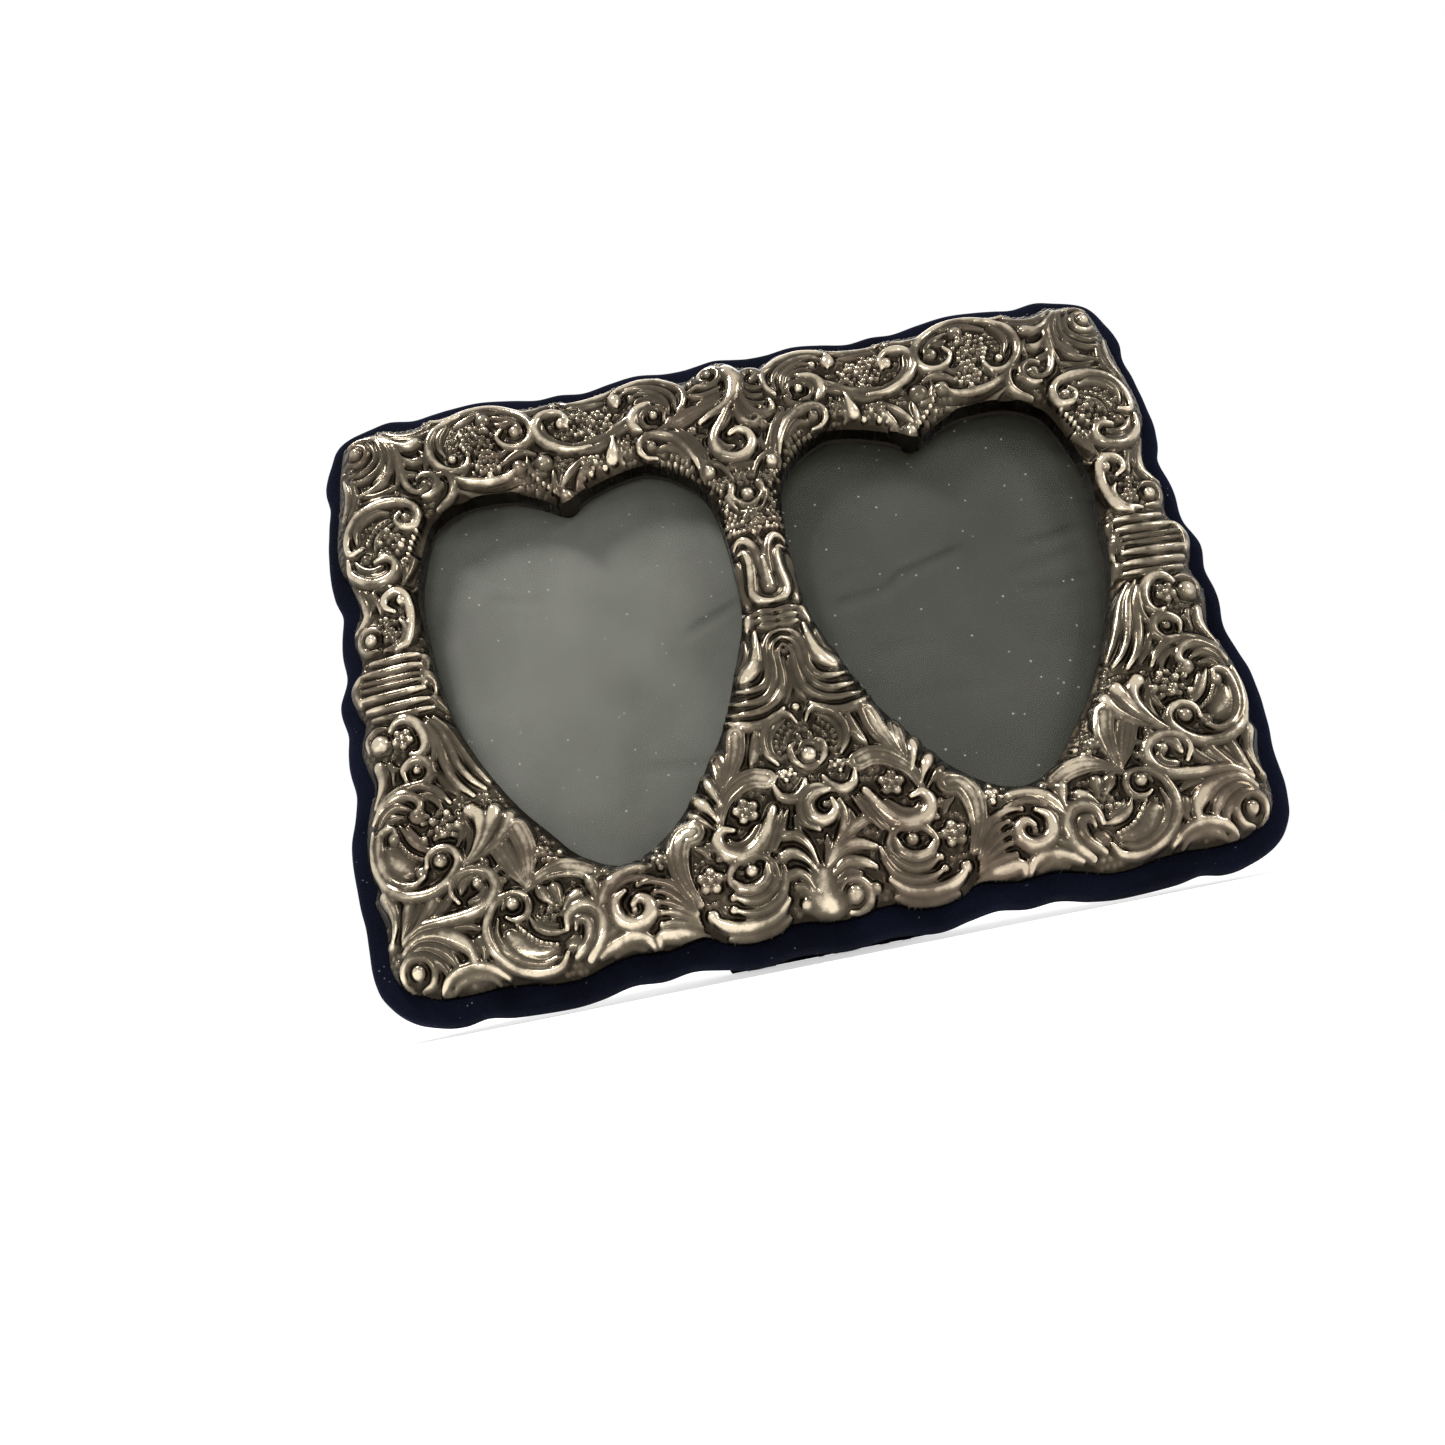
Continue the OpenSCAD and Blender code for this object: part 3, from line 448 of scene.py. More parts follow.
# The strokes of the left half, traced from the photograph. The right half repeats them.
LEFT_HALF = [
    # Upper corner: its shell.
    ball(1.9, 2, -95.6, 76.3),
    ridge(0.55, 1.3, -98, 76.6, -96.2, 78.8, -93.5, 78.2, -92.6, 75.9, -93.7, 73.6, -96, 73.1, -98, 74.4),
    ridge(0.6, 1.3, -92.3, 79.4, -90.9, 76.8, -90.4, 73.6, -92.4, 70.9, -95.2, 69.6, -97.6, 70.2),
    ridge(0.7, 1.4, -90.5, 80.3, -89, 76.4, -88.5, 72.7, -90.4, 69.4, -94, 67.4, -97.2, 67.6),
    ridge(0.8, 1.5, -89.4, 79.6, -86.9, 75, -86.7, 70.2, -88.6, 66.3, -91.4, 64.2, -95.2, 62.9),
    ridge(1, 1.2, -88.6, 70.6, -88.9, 67.6, -91.2, 65.9),
    ridge(0.7, 1.5, -97.4, 79.4, -94.5, 80.6, -90.4, 80.1, -87.2, 77.9, -85.3, 73.8, -85, 68.2, -85.6, 64.6),
    ridge(0.9, 1.6, -89, 80.6, -85.8, 76.8, -84.3, 71.8, -84, 66.4, -82.6, 62.5, -80.4, 60.8, -78.1, 61.3),
    ball(1.9, 1.9, -78.4, 62.6),
    ridge(0.8, 1.6, -80.6, 64.9, -78.4, 66, -75.9, 64.5, -75.5, 61.9, -77.2, 59.6, -79.6, 59.2),
    horn(1.5, 1.9, -85.9, 77.4, -84, 75.9, -82, 75.1, -79.6, 75.9),
    horn(1.1, 1.6, -85.2, 74.4, -83.4, 71.6, -81.2, 70.2, -79.4, 70.4),
    horn(0.9, 1.3, -84.6, 69.8, -83, 67.4, -81, 66.5),
    ridge(0.6, 1.1, -79.2, 73.4, -77.8, 70.4, -78.2, 67.6),
    ridge(0.7, 1.4, -88.3, 82.1, -85.8, 80.3, -82.2, 79.2, -78.5, 79.8, -75.8, 81.6),
    ridge(0.55, 1.1, -86.4, 79, -82.4, 77.7, -78.6, 78.1, -75.6, 79.6),
    ridge(0.8, 1.4, -99.4, 69.6, -98.3, 64.9, -98.8, 60.8, -100.1, 57.5),
    ridge(0.7, 1.3, -97, 68.6, -96.2, 64.6, -96.6, 60.6, -98.6, 57.2),
    ridge(0.6, 1.2, -94.2, 62.3, -90.4, 62.2, -86, 63.9),
    ridge(0.45, 0.9, -95.3, 60.6, -91, 60.9, -86, 61.6),
    # Side: C-scroll with berries and a flower.
    ridge(1, 1.8, -95.8, 47.2, -98.7, 46.8, -99.7, 49.5, -99, 53.2, -96.6, 56.6, -92.8, 58.7, -88.7, 59.5, -85.1, 59,
          -82.1, 57, -81.1, 54.1, -82.6, 51.5, -85.5, 51.6, -86.8, 53.9, -85.5, 55.9),
    ball(1.7, 2.1, -84.1, 54),
    ridge(0.75, 1.3, -97, 49.4, -97, 52.7, -94.6, 55.7, -91, 57, -88.5, 56.6),
    chain(0.6, 1.3, 8, -94.4, 48.6, -93.2, 51.1, -90.9, 53.3, -88.3, 54.2),
    ridge(0.55, 1.3, -92.6, 46.6, -91.8, 49.3, -90, 51.4, -87.4, 52.9),
    berries(1, 1.7, -88.3, 47.3, 3.3, 4.2),
    chain(0.85, 1.6, 7, -85.6, 40.8, -84.4, 44.2, -83.4, 47.4, -82, 50.2),
    ridge(1.1, 1.8, -99.7, 45.4, -99.5, 41.8, -97.1, 38.9, -93.7, 37.1, -90.3, 37.4, -88.2, 39.4, -88.1, 41.9, -90.1,
          43.4, -92.7, 42.8),
    ridge(0.8, 1.4, -97.8, 44.3, -96, 41.6, -93.4, 40.6, -91, 41.3),
    ridge(0.6, 1.2, -95.3, 39.6, -92.4, 38.9, -90.2, 39.8),
    ball(1.5, 1.2, -95.2, 44.6),
    ridge(0.9, 1.5, -99.4, 38.6, -97.9, 35.5, -96.5, 31.8, -96.2, 28.9, -97.8, 26.2, -99.6, 25.3),
    ridge(0.6, 1.2, -97, 36.2, -95.1, 33.6, -94.5, 30.6),
    horn(1, 1.5, -92.6, 28.6, -93.1, 31.2, -94.2, 34.2),
    ridge(0.6, 1.1, -94.6, 36, -91.5, 35.3, -88.2, 35, -85.3, 34.2),
    ridge(1.1, 1.8, -89.2, 28.2, -91.4, 30, -91, 32.6, -88.6, 33.7, -86.2, 32.5, -85.3, 29.5, -85.2, 25.9, -85.7,
          22.3, -86.9, 19.2, -89.6, 17.5),
    ball(1.5, 1.9, -87.4, 31),
    ridge(0.6, 1.1, -86, 42.9, -85.6, 38.8, -86.6, 35.9),
    horn(0.8, 1.2, -86, 36.4, -84.4, 39.4, -83.2, 42.6),
    horn(0.9, 1.2, -84.8, 33.4, -83, 36.2, -81.6, 40.2),
    berries(0.75, 1.4, -91.4, 25.6, 2.6, 1.3),
    flower(2.5, 1.6, -90.6, 22),
    ridge(0.9, 1.6, -88.2, 25.8, -86.9, 23.8, -87.2, 20.7, -89.4, 18.7, -92.4, 18.3),
    ball(1.9, 2, -95.6, 21.9),
    ridge(0.65, 1.4, -94, 18.9, -97.2, 19.3, -98.7, 21.8, -97.6, 24.4, -95, 24.9, -93.2, 23.6),
    # Side: collar of plain bands.
    *(ridge(r, 1.1 + 0.7 * r, a, v, a * 0.6 + b * 0.4, v - 0.5, b, v + 0.1) for r, v, a, b in (
        (0.75, 16.0, -96.6, -84.6), (0.85, 13.2, -98.4, -84.2), (0.5, 10.9, -98.8, -84.4), (0.5, 9.2, -99.2, -84.2),
        (0.85, 6.8, -99.4, -83.8), (0.8, 3.9, -98.4, -83.2), (0.6, 1.4, -97.2, -82.2),
    )),
    horn(1.3, 1.6, -82.8, 12.2, -82.7, 14, -83, 15.4),
    horn(1.6, 1.7, -81.6, 5.6, -81.6, 8.4, -82.6, 10.6),
    horn(1.3, 1.4, -79.6, 0.2, -80.4, 2, -81.6, 4.2),
    ridge(0.9, 1.3, -84.4, 13.4, -83.6, 11, -84, 7.2),
    ridge(1.1, 1.3, -99.6, 6, -100.9, 9.4, -99.2, 13.4),
    # Side: flower under the collar, and the ribs beside it.
    ball(2.6, 2, -95.6, -5.4),
    ridge(0.6, 1.2, -98.6, -6.6, -98.7, -3.2, -96.2, -1.4, -93.4, -1.9),
    ridge(1.1, 1.7, -93, -3, -91.4, -1, -88.8, -0.6, -86.6, -2.2, -85.3, -4.9, -85.2, -8, -86.8, -9.9, -88.6, -9.4),
    flower(2.9, 1.7, -90.2, -5.3),
    ridge(0.8, 1.6, -84.2, -2.4, -83.4, -5.6, -83.1, -9.2, -83.8, -12.4),
    ball(1.3, 1.9, -87.6, -13.8),
    ridge(1, 1.7, -90.2, -15.8, -90.7, -13.2, -88.6, -11.3, -85.8, -11.7, -84.4, -14.2, -85.9, -16.8, -88.8, -17),
    horn(1.4, 1.6, -98.2, -20.5, -96.8, -17.2, -96, -13.6, -96.5, -10.8),
    horn(0.8, 1.4, -93.4, -15.6, -93.2, -12.9, -93.8, -10.9),
    ball(0.9, 1.4, -92.6, -12.2),
    ridge(0.9, 1.6, -86.4, -1.4, -83.3, -5, -81.9, -9.8, -81, -14.4, -78.8, -18.9, -75.6, -22.4),
    ridge(0.8, 1.5, -84.4, -0.8, -81.2, -5, -79.5, -9.8, -78.1, -14.4, -75.6, -18.4, -72.8, -21),
    ridge(0.9, 1.4, -82.6, -1, -79.2, -5.2, -77, -9.8, -74.6, -14.6, -71.8, -19.2),
    ridge(0.6, 1.1, -83.9, -14, -81.8, -18.2, -79.2, -21.4),
    # Side: big shell.
    ridge(0.8, 1.5, -97.6, -20.8, -94.2, -18.3, -90.5, -17.3, -86.5, -17.8, -83.3, -19.8, -81, -23),
    ridge(0.7, 1.3, -87.4, -19.7, -84.6, -21.2, -83, -23.9),
    ridge(1, 1.7, -98.9, -24.1, -96.2, -20.9, -92.4, -19.2, -89.2, -19.9, -87.6, -22.2, -88.6, -24.2),
    ball(2.3, 1.8, -88.6, -24.6),
    ridge(0.8, 1.4, -97.4, -25.2, -95.9, -22.8, -93, -21.6, -90.5, -22.6),
    ridge(0.6, 1.2, -96.4, -26.2, -94.4, -24.2, -91.9, -24.2),
    ridge(1.05, 1.9, -99.2, -26.2, -99.8, -31.1, -99.2, -35.6, -96.9, -39.8, -93.1, -42.6, -89.4, -43.3, -85.6, -42.6,
          -82.4, -40.3, -80.5, -37, -81.7, -34.1, -84.5, -33.2, -87, -34.7, -87.5, -37.2),
    ball(2.1, 2.2, -84.4, -36.2),
    ridge(0.95, 1.6, -93.4, -28.6, -94.4, -26.5, -97, -27, -98, -29.9, -98, -33.6, -96.8, -37.2, -94.2, -39.7, -90.8,
          -40.6, -88.3, -39.2),
    ball(1.7, 1.7, -94.3, -28.9),
    ridge(2.3, 0.9, -95.6, -31.6, -94.3, -34.8, -91.6, -37),
    ball(1.7, 1.6, -88.9, -38),
    chain(0.75, 1.5, 7, -92.8, -30.6, -91.2, -33, -88.6, -35),
    ridge(0.7, 1.5, -92.7, -26.2, -91.2, -28.8, -89.6, -31.2, -87.4, -32.9, -85, -33.2),
    ridge(0.5, 1.2, -91, -26.4, -89.4, -29.4, -87, -31.6),
    berries(1.15, 1.8, -84, -28.3, 4.2, 4.2),
    ridge(0.6, 1.2, -79.6, -25.4, -78.8, -29.4, -80.2, -33.2),
    # Leaves from the shell along the window.
    horn(1.7, 1.9, -79.3, -38.6, -76.7, -35.2, -74.8, -31.1, -75, -27.6, -76.8, -25.8),
    ridge(0.6, 1, -78.9, -37.2, -77.6, -32.2, -78.4, -27.4),
    horn(1.7, 1.9, -78.3, -38.2, -74.9, -34.3, -72.9, -30.6, -71.4, -26.7),
    horn(1.5, 1.5, -77.6, -38, -73.1, -35.4, -69.6, -31.8, -68.1, -28.4),
    dish(2.2, 1.7, -66.6, -45.4, -68.5, -42, -70, -38.8, -71.4, -35.8),
    dish(2.4, 1.9, -66, -45.2, -65.5, -40.7, -65.6, -36.2, -67, -31.8),
    ball(1.5, 1.8, -75, -38.5),
    ball(0.9, 1.4, -72.3, -40.3),
    ball(1.3, 1.7, -71.4, -43.3),
    ball(0.9, 1.3, -74, -41.4),
    berries(0.85, 1.5, -61.2, -39.6, 3.4, 2.2),
    dish(2.3, 1.8, -66.4, -46.2, -62.9, -43.9, -58.8, -43, -54.9, -43.5, -52.2, -44.9),
    ball(1.5, 1.8, -48.9, -45.4),
    ball(0.8, 1.3, -51, -45.2),
    ball(0.7, 1.2, -47.2, -46.8),
    # Lower corner: drops and volutes.
    horn(1.4, 1.7, -97.2, -52.4, -96, -48.6, -96.2, -44.9, -97.7, -41.6),
    ball(1.4, 1.4, -97.5, -52.4),
    cut(0.35, 0.5, -96.6, -50.4, -95.9, -46.6, -97, -43),
    horn(1.5, 1.6, -94.4, -52, -93.4, -49, -92.3, -45.4),
    horn(1.5, 1.6, -92.2, -51.2, -89.4, -48.4, -87, -45.2),
    horn(1, 1.2, -93.2, -51.6, -91.6, -48.4, -90, -45.8),
    horn(1, 1.2, -88.6, -50, -85.2, -47, -83.4, -44.6),
    ridge(1.15, 1.8, -81.4, -46.6, -82.9, -43.9, -81.9, -41, -78.4, -39.6, -74.9, -40.6, -73.1, -43.6, -74.3, -47.1,
          -77.4, -48.9, -81.3, -49.5, -85.8, -49.8, -90.4, -50.4, -94.2, -52.8),
    ball(1.7, 2.1, -76.9, -42.9),
    ridge(0.9, 1.6, -80.8, -44.6, -80, -42, -77.6, -41),
    ridge(0.9, 1.5, -75.5, -44, -76.4, -46, -79.2, -46.7),
    ridge(1.5, 1.5, -94.3, -55, -91.3, -52.6, -87.2, -52.4, -83.2, -54.2, -80.2, -57, -79.4, -60),
    ridge(1, 1.4, -93.6, -55.8, -90.4, -54.5, -86.8, -55.6, -84.2, -58.2, -83, -60.8),
    ridge(0.8, 1.3, -93.8, -56.8, -90.8, -56, -87.8, -57.7, -85.9, -60.2, -85.4, -62.6),
    ball(1.9, 2.2, -91.7, -59.7),
    ridge(0.75, 1.5, -93.6, -63.2, -95.2, -61.2, -95.3, -58.4, -93.1, -56.5, -90, -57, -88.3, -59.4, -89, -62.4,
          -91.6, -63.5),
    ridge(1, 1.7, -87.4, -65, -85.8, -62.8, -83.1, -61.2, -79.5, -60.8, -75.8, -62, -73, -64.4),
    ridge(0.7, 1.3, -84.9, -65.2, -83.3, -63.5, -80.2, -62.7, -76.9, -63.4, -75.1, -65.2),
    ball(1.3, 1.4, -86.1, -65.2),
    horn(1.1, 1.4, -77.6, -61, -77.2, -58.4, -78, -55.4),
    ridge(0.6, 1.1, -83, -51.6, -79.6, -52, -76.9, -53.4),
    # Bottom: C-scroll.
    ridge(0.9, 1.8, -66.6, -48, -69.5, -46.5, -72.8, -47.5, -75.2, -50.2, -76.2, -54, -75.2, -58.4, -72.6, -61.7,
          -69.2, -63.9, -65.2, -64.9, -61.5, -64.2, -59.6, -61.8),
    ridge(0.65, 1.4, -73.5, -51.6, -74, -55.2, -72.4, -59.2, -69, -62, -65, -63.2, -61.6, -62.3),
    ball(1.9, 2.2, -70, -49),
    ridge(0.7, 1.5, -72.4, -49.8, -70.9, -46.8, -68, -46.9, -66.6, -49.3, -67.4, -51.9, -70, -52.6, -71.8, -51.6),
    ridge(2.4, 0.9, -71.5, -55.8, -69, -59.4, -65.6, -61, -62.8, -60.6),
    chain(0.65, 1.5, 10, -69.6, -53.8, -67.5, -56.2, -64.9, -58.5, -61.6, -59.6),
    ridge(0.75, 1.5, -66.6, -52.8, -65.4, -55, -62.9, -56.6, -59.8, -57.2),
    ridge(0.5, 1.2, -65.2, -52.4, -63.6, -54.6, -60.8, -55.4),
    berries(1, 1.6, -61.6, -52.4, 2.6, 2.6),
    horn(1.4, 1.6, -61.4, -50.8, -62.6, -49.2, -63.6, -47.4),
    horn(1.4, 1.6, -59.6, -51.2, -60, -49.4, -60.5, -47.2),
    horn(1.5, 1.7, -59.2, -52.6, -57.6, -50.6, -55.9, -49.6),
    horn(1.5, 1.7, -52.1, -53.2, -51.9, -50.2, -52.6, -47.2),
    ridge(1.3, 1.8, -59, -56.9, -58.5, -54, -56.2, -52.3, -53.2, -52.6, -51.3, -55.2, -51.4, -58.4, -52.8, -61.4,
          -55.2, -63.9),
    ridge(1, 1.6, -57.2, -57.3, -56.7, -55.3, -54.9, -55.4, -54.2, -57.6, -55.2, -60.4, -58, -63),
    ridge(1.3, 0.9, -59.2, -60.4, -57.6, -60.2, -57, -61.6),
    # Bottom: volutes below the window, and their fan of ribs.
    ridge(1.35, 1.8, -51.4, -53.4, -49.8, -50.2, -47.6, -47.7, -44.9, -46.2, -41.6, -46),
    ball(1.4, 1.6, -41.2, -46.3),
    ridge(0.6, 1.3, -50, -55, -48.8, -51.4, -46.2, -49, -42.6, -48.4, -39, -49.2),
    ridge(1.35, 1.9, -45.6, -51, -47.9, -52.8, -48.1, -55.8, -46.3, -58.2, -43.4, -58.7, -41, -57, -40.9, -54.4,
          -42.8, -53, -44.4, -54.3),
    ball(1.1, 1.8, -44.2, -55.6),
    *(stroke for rib in (
        (-42.9, -50.2, -39.3, -50.0, -35.6, -51.6, -32.9, -54.9, -30.8, -59.0),
        (-39.4, -52.4, -36.9, -53.1, -34.0, -55.6, -31.2, -59.4),
        (-38.9, -54.9, -36.4, -55.6, -33.8, -57.3, -31.0, -60.1),
        (-38.6, -57.3, -36.0, -57.8, -33.6, -59.0, -30.8, -60.9),
        (-39.2, -59.8, -36.0, -60.0, -33.2, -60.7, -30.6, -61.7),
    ) for stroke in (ridge(0.75, 1.5, *rib), ball(1.0, 1.6, rib[0] + 0.3, rib[1]))),
    ridge(1.2, 1.6, -52.9, -63.9, -49.4, -61.8, -45.6, -60.9, -42.6, -61.9, -41.4, -64),
    ridge(0.7, 1.1, -50, -64.2, -46.4, -62.9, -43.4, -63.9),
    ridge(1.4, 1.6, -40.2, -63.9, -39.6, -62.2, -36.4, -62.3, -33, -63, -29.6, -64.4),
    horn(1.2, 1.5, -52.4, -62.4, -51.2, -60.4, -49.4, -59),
    berries(0.9, 1.5, -37.6, -45.2, 2.4, 2.4),
    ball(1, 1.6, -37.1, -47.4),
    # Top: scrolls and berries, down to the heart's notch.
    ridge(0.95, 1.8, -76, 83, -72, 81.7, -67.5, 83, -62.9, 83.6, -58.4, 83, -53.8, 80.2, -50.9, 76.6, -50.1, 73.2,
          -51.4, 70.1, -54.3, 68.8, -57.5, 69.8, -59.2, 72.6, -57.9, 74.9),
    ridge(0.95, 1.8, -68.1, 81.9, -71.3, 81, -74.9, 78.3, -76.6, 74.5, -76.4, 70.4, -74.5, 67.1, -71.2, 65, -68, 65.6,
          -66.9, 68),
    ridge(0.6, 1.2, -71.5, 79.4, -73.6, 76.4, -74, 72.8, -72.8, 70.2),
    ball(1.5, 2, -71, 68.6),
    ball(2.3, 1.9, -62.2, 79.2),
    ridge(0.6, 1.2, -69.8, 78.8, -66.4, 80.6, -63, 81.6, -58.8, 81.2),
    ball(1.9, 1.7, -54.5, 73.8),
    ridge(0.7, 1.4, -59.6, 79.6, -56.2, 78.2, -53.6, 75.8, -52.6, 73.2),
    ridge(0.6, 1.3, -59.4, 77.2, -57.4, 76.5, -55.6, 76.8),
    berries(0.95, 1.7, -64.2, 72.6, 5, 4.9),
    berries(0.85, 1.6, -62.4, 65, 4.2, 3),
    ridge(0.7, 1.3, -66.4, 68.6, -67.4, 66.2, -68.8, 63.4),
    ridge(0.8, 1.5, -74.9, 65, -72.6, 64.2, -71.6, 61, -72.8, 58.3, -76.5, 55.6),
    ball(1.3, 1.6, -74.6, 62),
    ridge(0.8, 1.5, -72.1, 63.8, -67.5, 61.5, -62.9, 60.5, -58.4, 60.7, -55.6, 62),
    ball(2.2, 1.9, -54.6, 63),
    ridge(0.7, 1.4, -58.6, 64.3, -56.1, 66.3, -52.9, 67, -50.2, 65.9),
    ridge(0.55, 1.2, -61.4, 69.2, -59.4, 67.5, -57.2, 68.2),
    ridge(0.6, 1.1, -70.4, 59.8, -66, 58, -60.6, 57.2, -54.8, 57.8),
    ridge(1.05, 1.9, -35.9, 64.6, -40.2, 64.6, -44.7, 66.4, -47.9, 69.1, -49.3, 72.7, -48.4, 75.9, -46.1, 77.5, -42.9,
          76.9, -40.8, 74.3, -41.2, 72.2),
    ball(1.9, 2.1, -42.4, 73.4),
    ridge(0.7, 1.3, -47.1, 74.4, -46.6, 70.8, -44, 67.9, -40.2, 66.4),
    ball(2.8, 1.9, -48.4, 62.9),
    ridge(0.55, 1.3, -52.3, 66, -51.6, 60.8, -48.2, 59.4),
    ridge(0.7, 1.4, -53.8, 80, -49.3, 79.6, -45.2, 80.5),
    ball(1.2, 1.5, -43.9, 80),
    ridge(0.8, 1.4, -42.4, 81.2, -40.2, 79.9, -35.8, 79.8, -31.2, 80.5, -28.9, 81.3),
    ridge(0.5, 1.1, -40.6, 78.2, -36, 77.9, -31.2, 78.3),
    berries(0.9, 1.7, -35.6, 71.9, 5.9, 4.3),
    berries(0.8, 1.3, -38.4, 76.4, 2.4, 1.2),
    horn(2.4, 1.9, -42.8, 47.6, -43.2, 49.4, -43.6, 51.6),
    ridge(0.7, 1.4, -38.4, 61.9, -42.3, 58.6, -44.8, 54.6),
    ridge(0.7, 1.4, -37, 60.6, -40, 56.4, -41.3, 52.3),
    ridge(0.6, 1.2, -46.2, 60.2, -46.4, 56.8, -46.1, 53.2),
    chain(0.8, 1.4, 6, -52.2, 61, -50.7, 58.6, -48.7, 56.3, -46.9, 54.2),
    chain(0.8, 1.4, 5, -36.8, 61.2, -38.2, 58, -39.6, 54.8),
    # Top: volute with a fan, beside the middle.
    ridge(0.95, 1.7, -29, 79, -26.6, 81.3, -22, 82.5, -18, 82, -14.3, 80.8, -11.6, 78.6, -10.4, 76.2, -10.8, 72.8,
          -12.7, 70.3),
    ridge(0.75, 1.5, -26.2, 78.8, -24, 80.3, -20.9, 80.3, -17.2, 79.2, -14.3, 77.3, -12.9, 74.5, -13.1, 71.6),
    ridge(0.7, 1.4, -22.7, 78.1, -20.4, 78.5, -17.9, 77.4, -15.7, 75.4, -14.8, 72.8, -14.9, 70.8),
    ridge(0.6, 1.3, -23.2, 75.3, -21.6, 76.4, -19.3, 76, -17.1, 74.6, -16, 72.6),
    horn(1.8, 1.9, -27.6, 75.6, -28, 78),
    ball(1.3, 1.7, -23.8, 77.5),
    ball(1.5, 2.2, -18.9, 70.6),
    ridge(0.65, 1.5, -18.6, 67.2, -21.2, 67.8, -22, 70.3, -20.4, 72.4, -17.9, 72.8, -16.1, 71, -16.6, 68.8),
    ridge(1.35, 1.8, -22.8, 66.6, -24.5, 68.6, -24.3, 71.4, -22.4, 73.5, -19.5, 74.4),
    ridge(0.8, 1.3, -22, 65.8, -19, 65.6, -16.2, 67, -14.9, 69.2),
    ridge(1, 1.4, -40, 66.2, -36.2, 66.2, -31.6, 67.2, -28.9, 69.2, -26, 71.2),
    ridge(0.8, 1.3, -38.8, 63.4, -34.5, 64.2, -31.4, 66, -28.6, 67.9, -25.4, 68.8),
    berries(0.75, 1.3, -26.7, 63.2, 1.7, 3.2),
    horn(1.5, 1.9, -29.9, 66.2, -30.5, 63.4, -31.2, 60.4),
    ridge(0.5, 1.1, -28.5, 66, -28.8, 62.4, -28.9, 59.2),
    berries(0.85, 1.5, -36.4, 59.6, 3.6, 2.4),
    berries(0.7, 1.2, -27.2, 58.9, 1.7, 0.9),
    # Shoulder between the windows: leaf and ribs.
    ridge(0.95, 1.8, -20, 58.4, -22.8, 59.2, -24, 61.3, -23.2, 63.7, -20.8, 64.8, -17.8, 64.3, -15, 62.4, -12.8, 59.4,
          -11.2, 56, -10.3, 52.6),
    ball(1.7, 1.8, -20.9, 61.9),
    ridge(0.6, 1.2, -19.2, 60.6, -16.8, 60.8, -14.4, 58.6, -12.7, 55.4),
    ridge(0.5, 1.5, -15.6, 65, -12.7, 62.4, -10.9, 59.1, -9.6, 55.5, -8.9, 52.6),
    ridge(0.5, 1.5, -14.1, 65.2, -11.4, 61.9, -9.5, 58.2, -8.2, 54),
    ridge(0.5, 1.4, -12.6, 65, -10.1, 61.2, -8.2, 57.2, -7.2, 54.2),
    chain(0.85, 1.5, 7, -19, 57.3, -15.8, 55.6, -13.2, 52.8, -11.4, 50),
    chain(0.75, 1.3, 5, -16.4, 58, -14, 56, -12.2, 53.4),
    # Column between the windows, one side of it.
    ball(2, 2, -8, 50.9),
    ridge(0.6, 1.4, -9.6, 48.6, -10.1, 51.4, -8, 53.4, -5.4, 52.5, -3.6, 50, -2.6, 47.4),
    berries(0.72, 1.4, -6.5, 47, 2.6, 2.3),
    berries(0.72, 1.5, -5.5, 35.4, 1.9, 4.2),
    berries(0.72, 1.5, -6.3, 41.4, 1.2, 2.2),
    horn(0.9, 1.4, -3.2, 38.6, -4.3, 40.6, -5, 42.6),
    ridge(0.95, 1.8, -6.4, 28, -5.6, 29.5, -3.9, 29.7, -2.3, 28.2, -1.3, 25.4, -1.1, 22.4, -1.3, 19.4),
    ridge(1.15, 1.9, -5.9, 26.2, -4.5, 26.3, -3.7, 24, -3.7, 20.2, -4.3, 16.6, -4.2, 14, -2.6, 12.3, 0, 11.7),
    ridge(0.45, 1.1, -2.5, 19, -2.9, 16.2, -2.2, 14, 0, 13),
    ridge(1.3, 1.2, -6.4, 24.4, -6.9, 20, -6.7, 15, -6.2, 12),
    ridge(0.7, 1.5, -5.4, 9.6, 0, 9.3),
    ridge(0.7, 1.5, -5.4, 7.6, 0, 7.3),
    ridge(0.7, 1.4, -5, 5.7, 0, 5.5),
    horn(1.6, 1.6, -7.6, 5.6, -7.1, 8.9),
    ridge(0.75, 1.5, 0, 4, -2.6, 3.2, -4.2, 0.6, -4.7, -2.5, -4.9, -6.2, -6.6, -9.2, -10.2, -10, -13.2, -9.2),
    ridge(0.75, 1.5, 0, 2.1, -2, 1, -3.1, -1.6, -3.3, -5.2, -4, -8.7, -5.9, -11.7, -9, -13, -13, -12.6, -15, -11.8),
    ridge(0.75, 1.5, 0, 0.3, -1.3, -1.2, -1.7, -4, -1.8, -7.8, -2.7, -11.4, -5.6, -14.4, -9.5, -15.6, -14, -15.3,
          -16.6, -14.2),
    ridge(0.4, 1, -0.5, -3, -0.4, -7, -0.7, -11.4, -2.2, -14.2),
    ridge(1, 1.6, -17.2, -16.2, -13.5, -18.2, -9.9, -18.9, -5.8, -17.9, -3.1, -15.9),
    horn(2, 1.9, -5.9, 4.6, -6.5, -0.3, -7.7, -3.9, -10.6, -6.5),
    ridge(0.8, 1.2, -8.6, 3.4, -9.6, -1.2, -12, -4.2),
    cut(0.4, 0.6, -6.6, -7.4, -9.6, -8.2, -12.6, -7.6),
    # Beaded pods below the column.
    ridge(0.75, 1.6, -1, -20, -2.4, -17.6, -4.7, -17, -7.5, -18.8, -9.4, -22.6, -9.2, -26.3, -7.2, -29.2),
    ridge(0.5, 1.2, -3.4, -18.6, -6.2, -20.4, -7.8, -23.3, -7.7, -26.3, -6.1, -28.2),
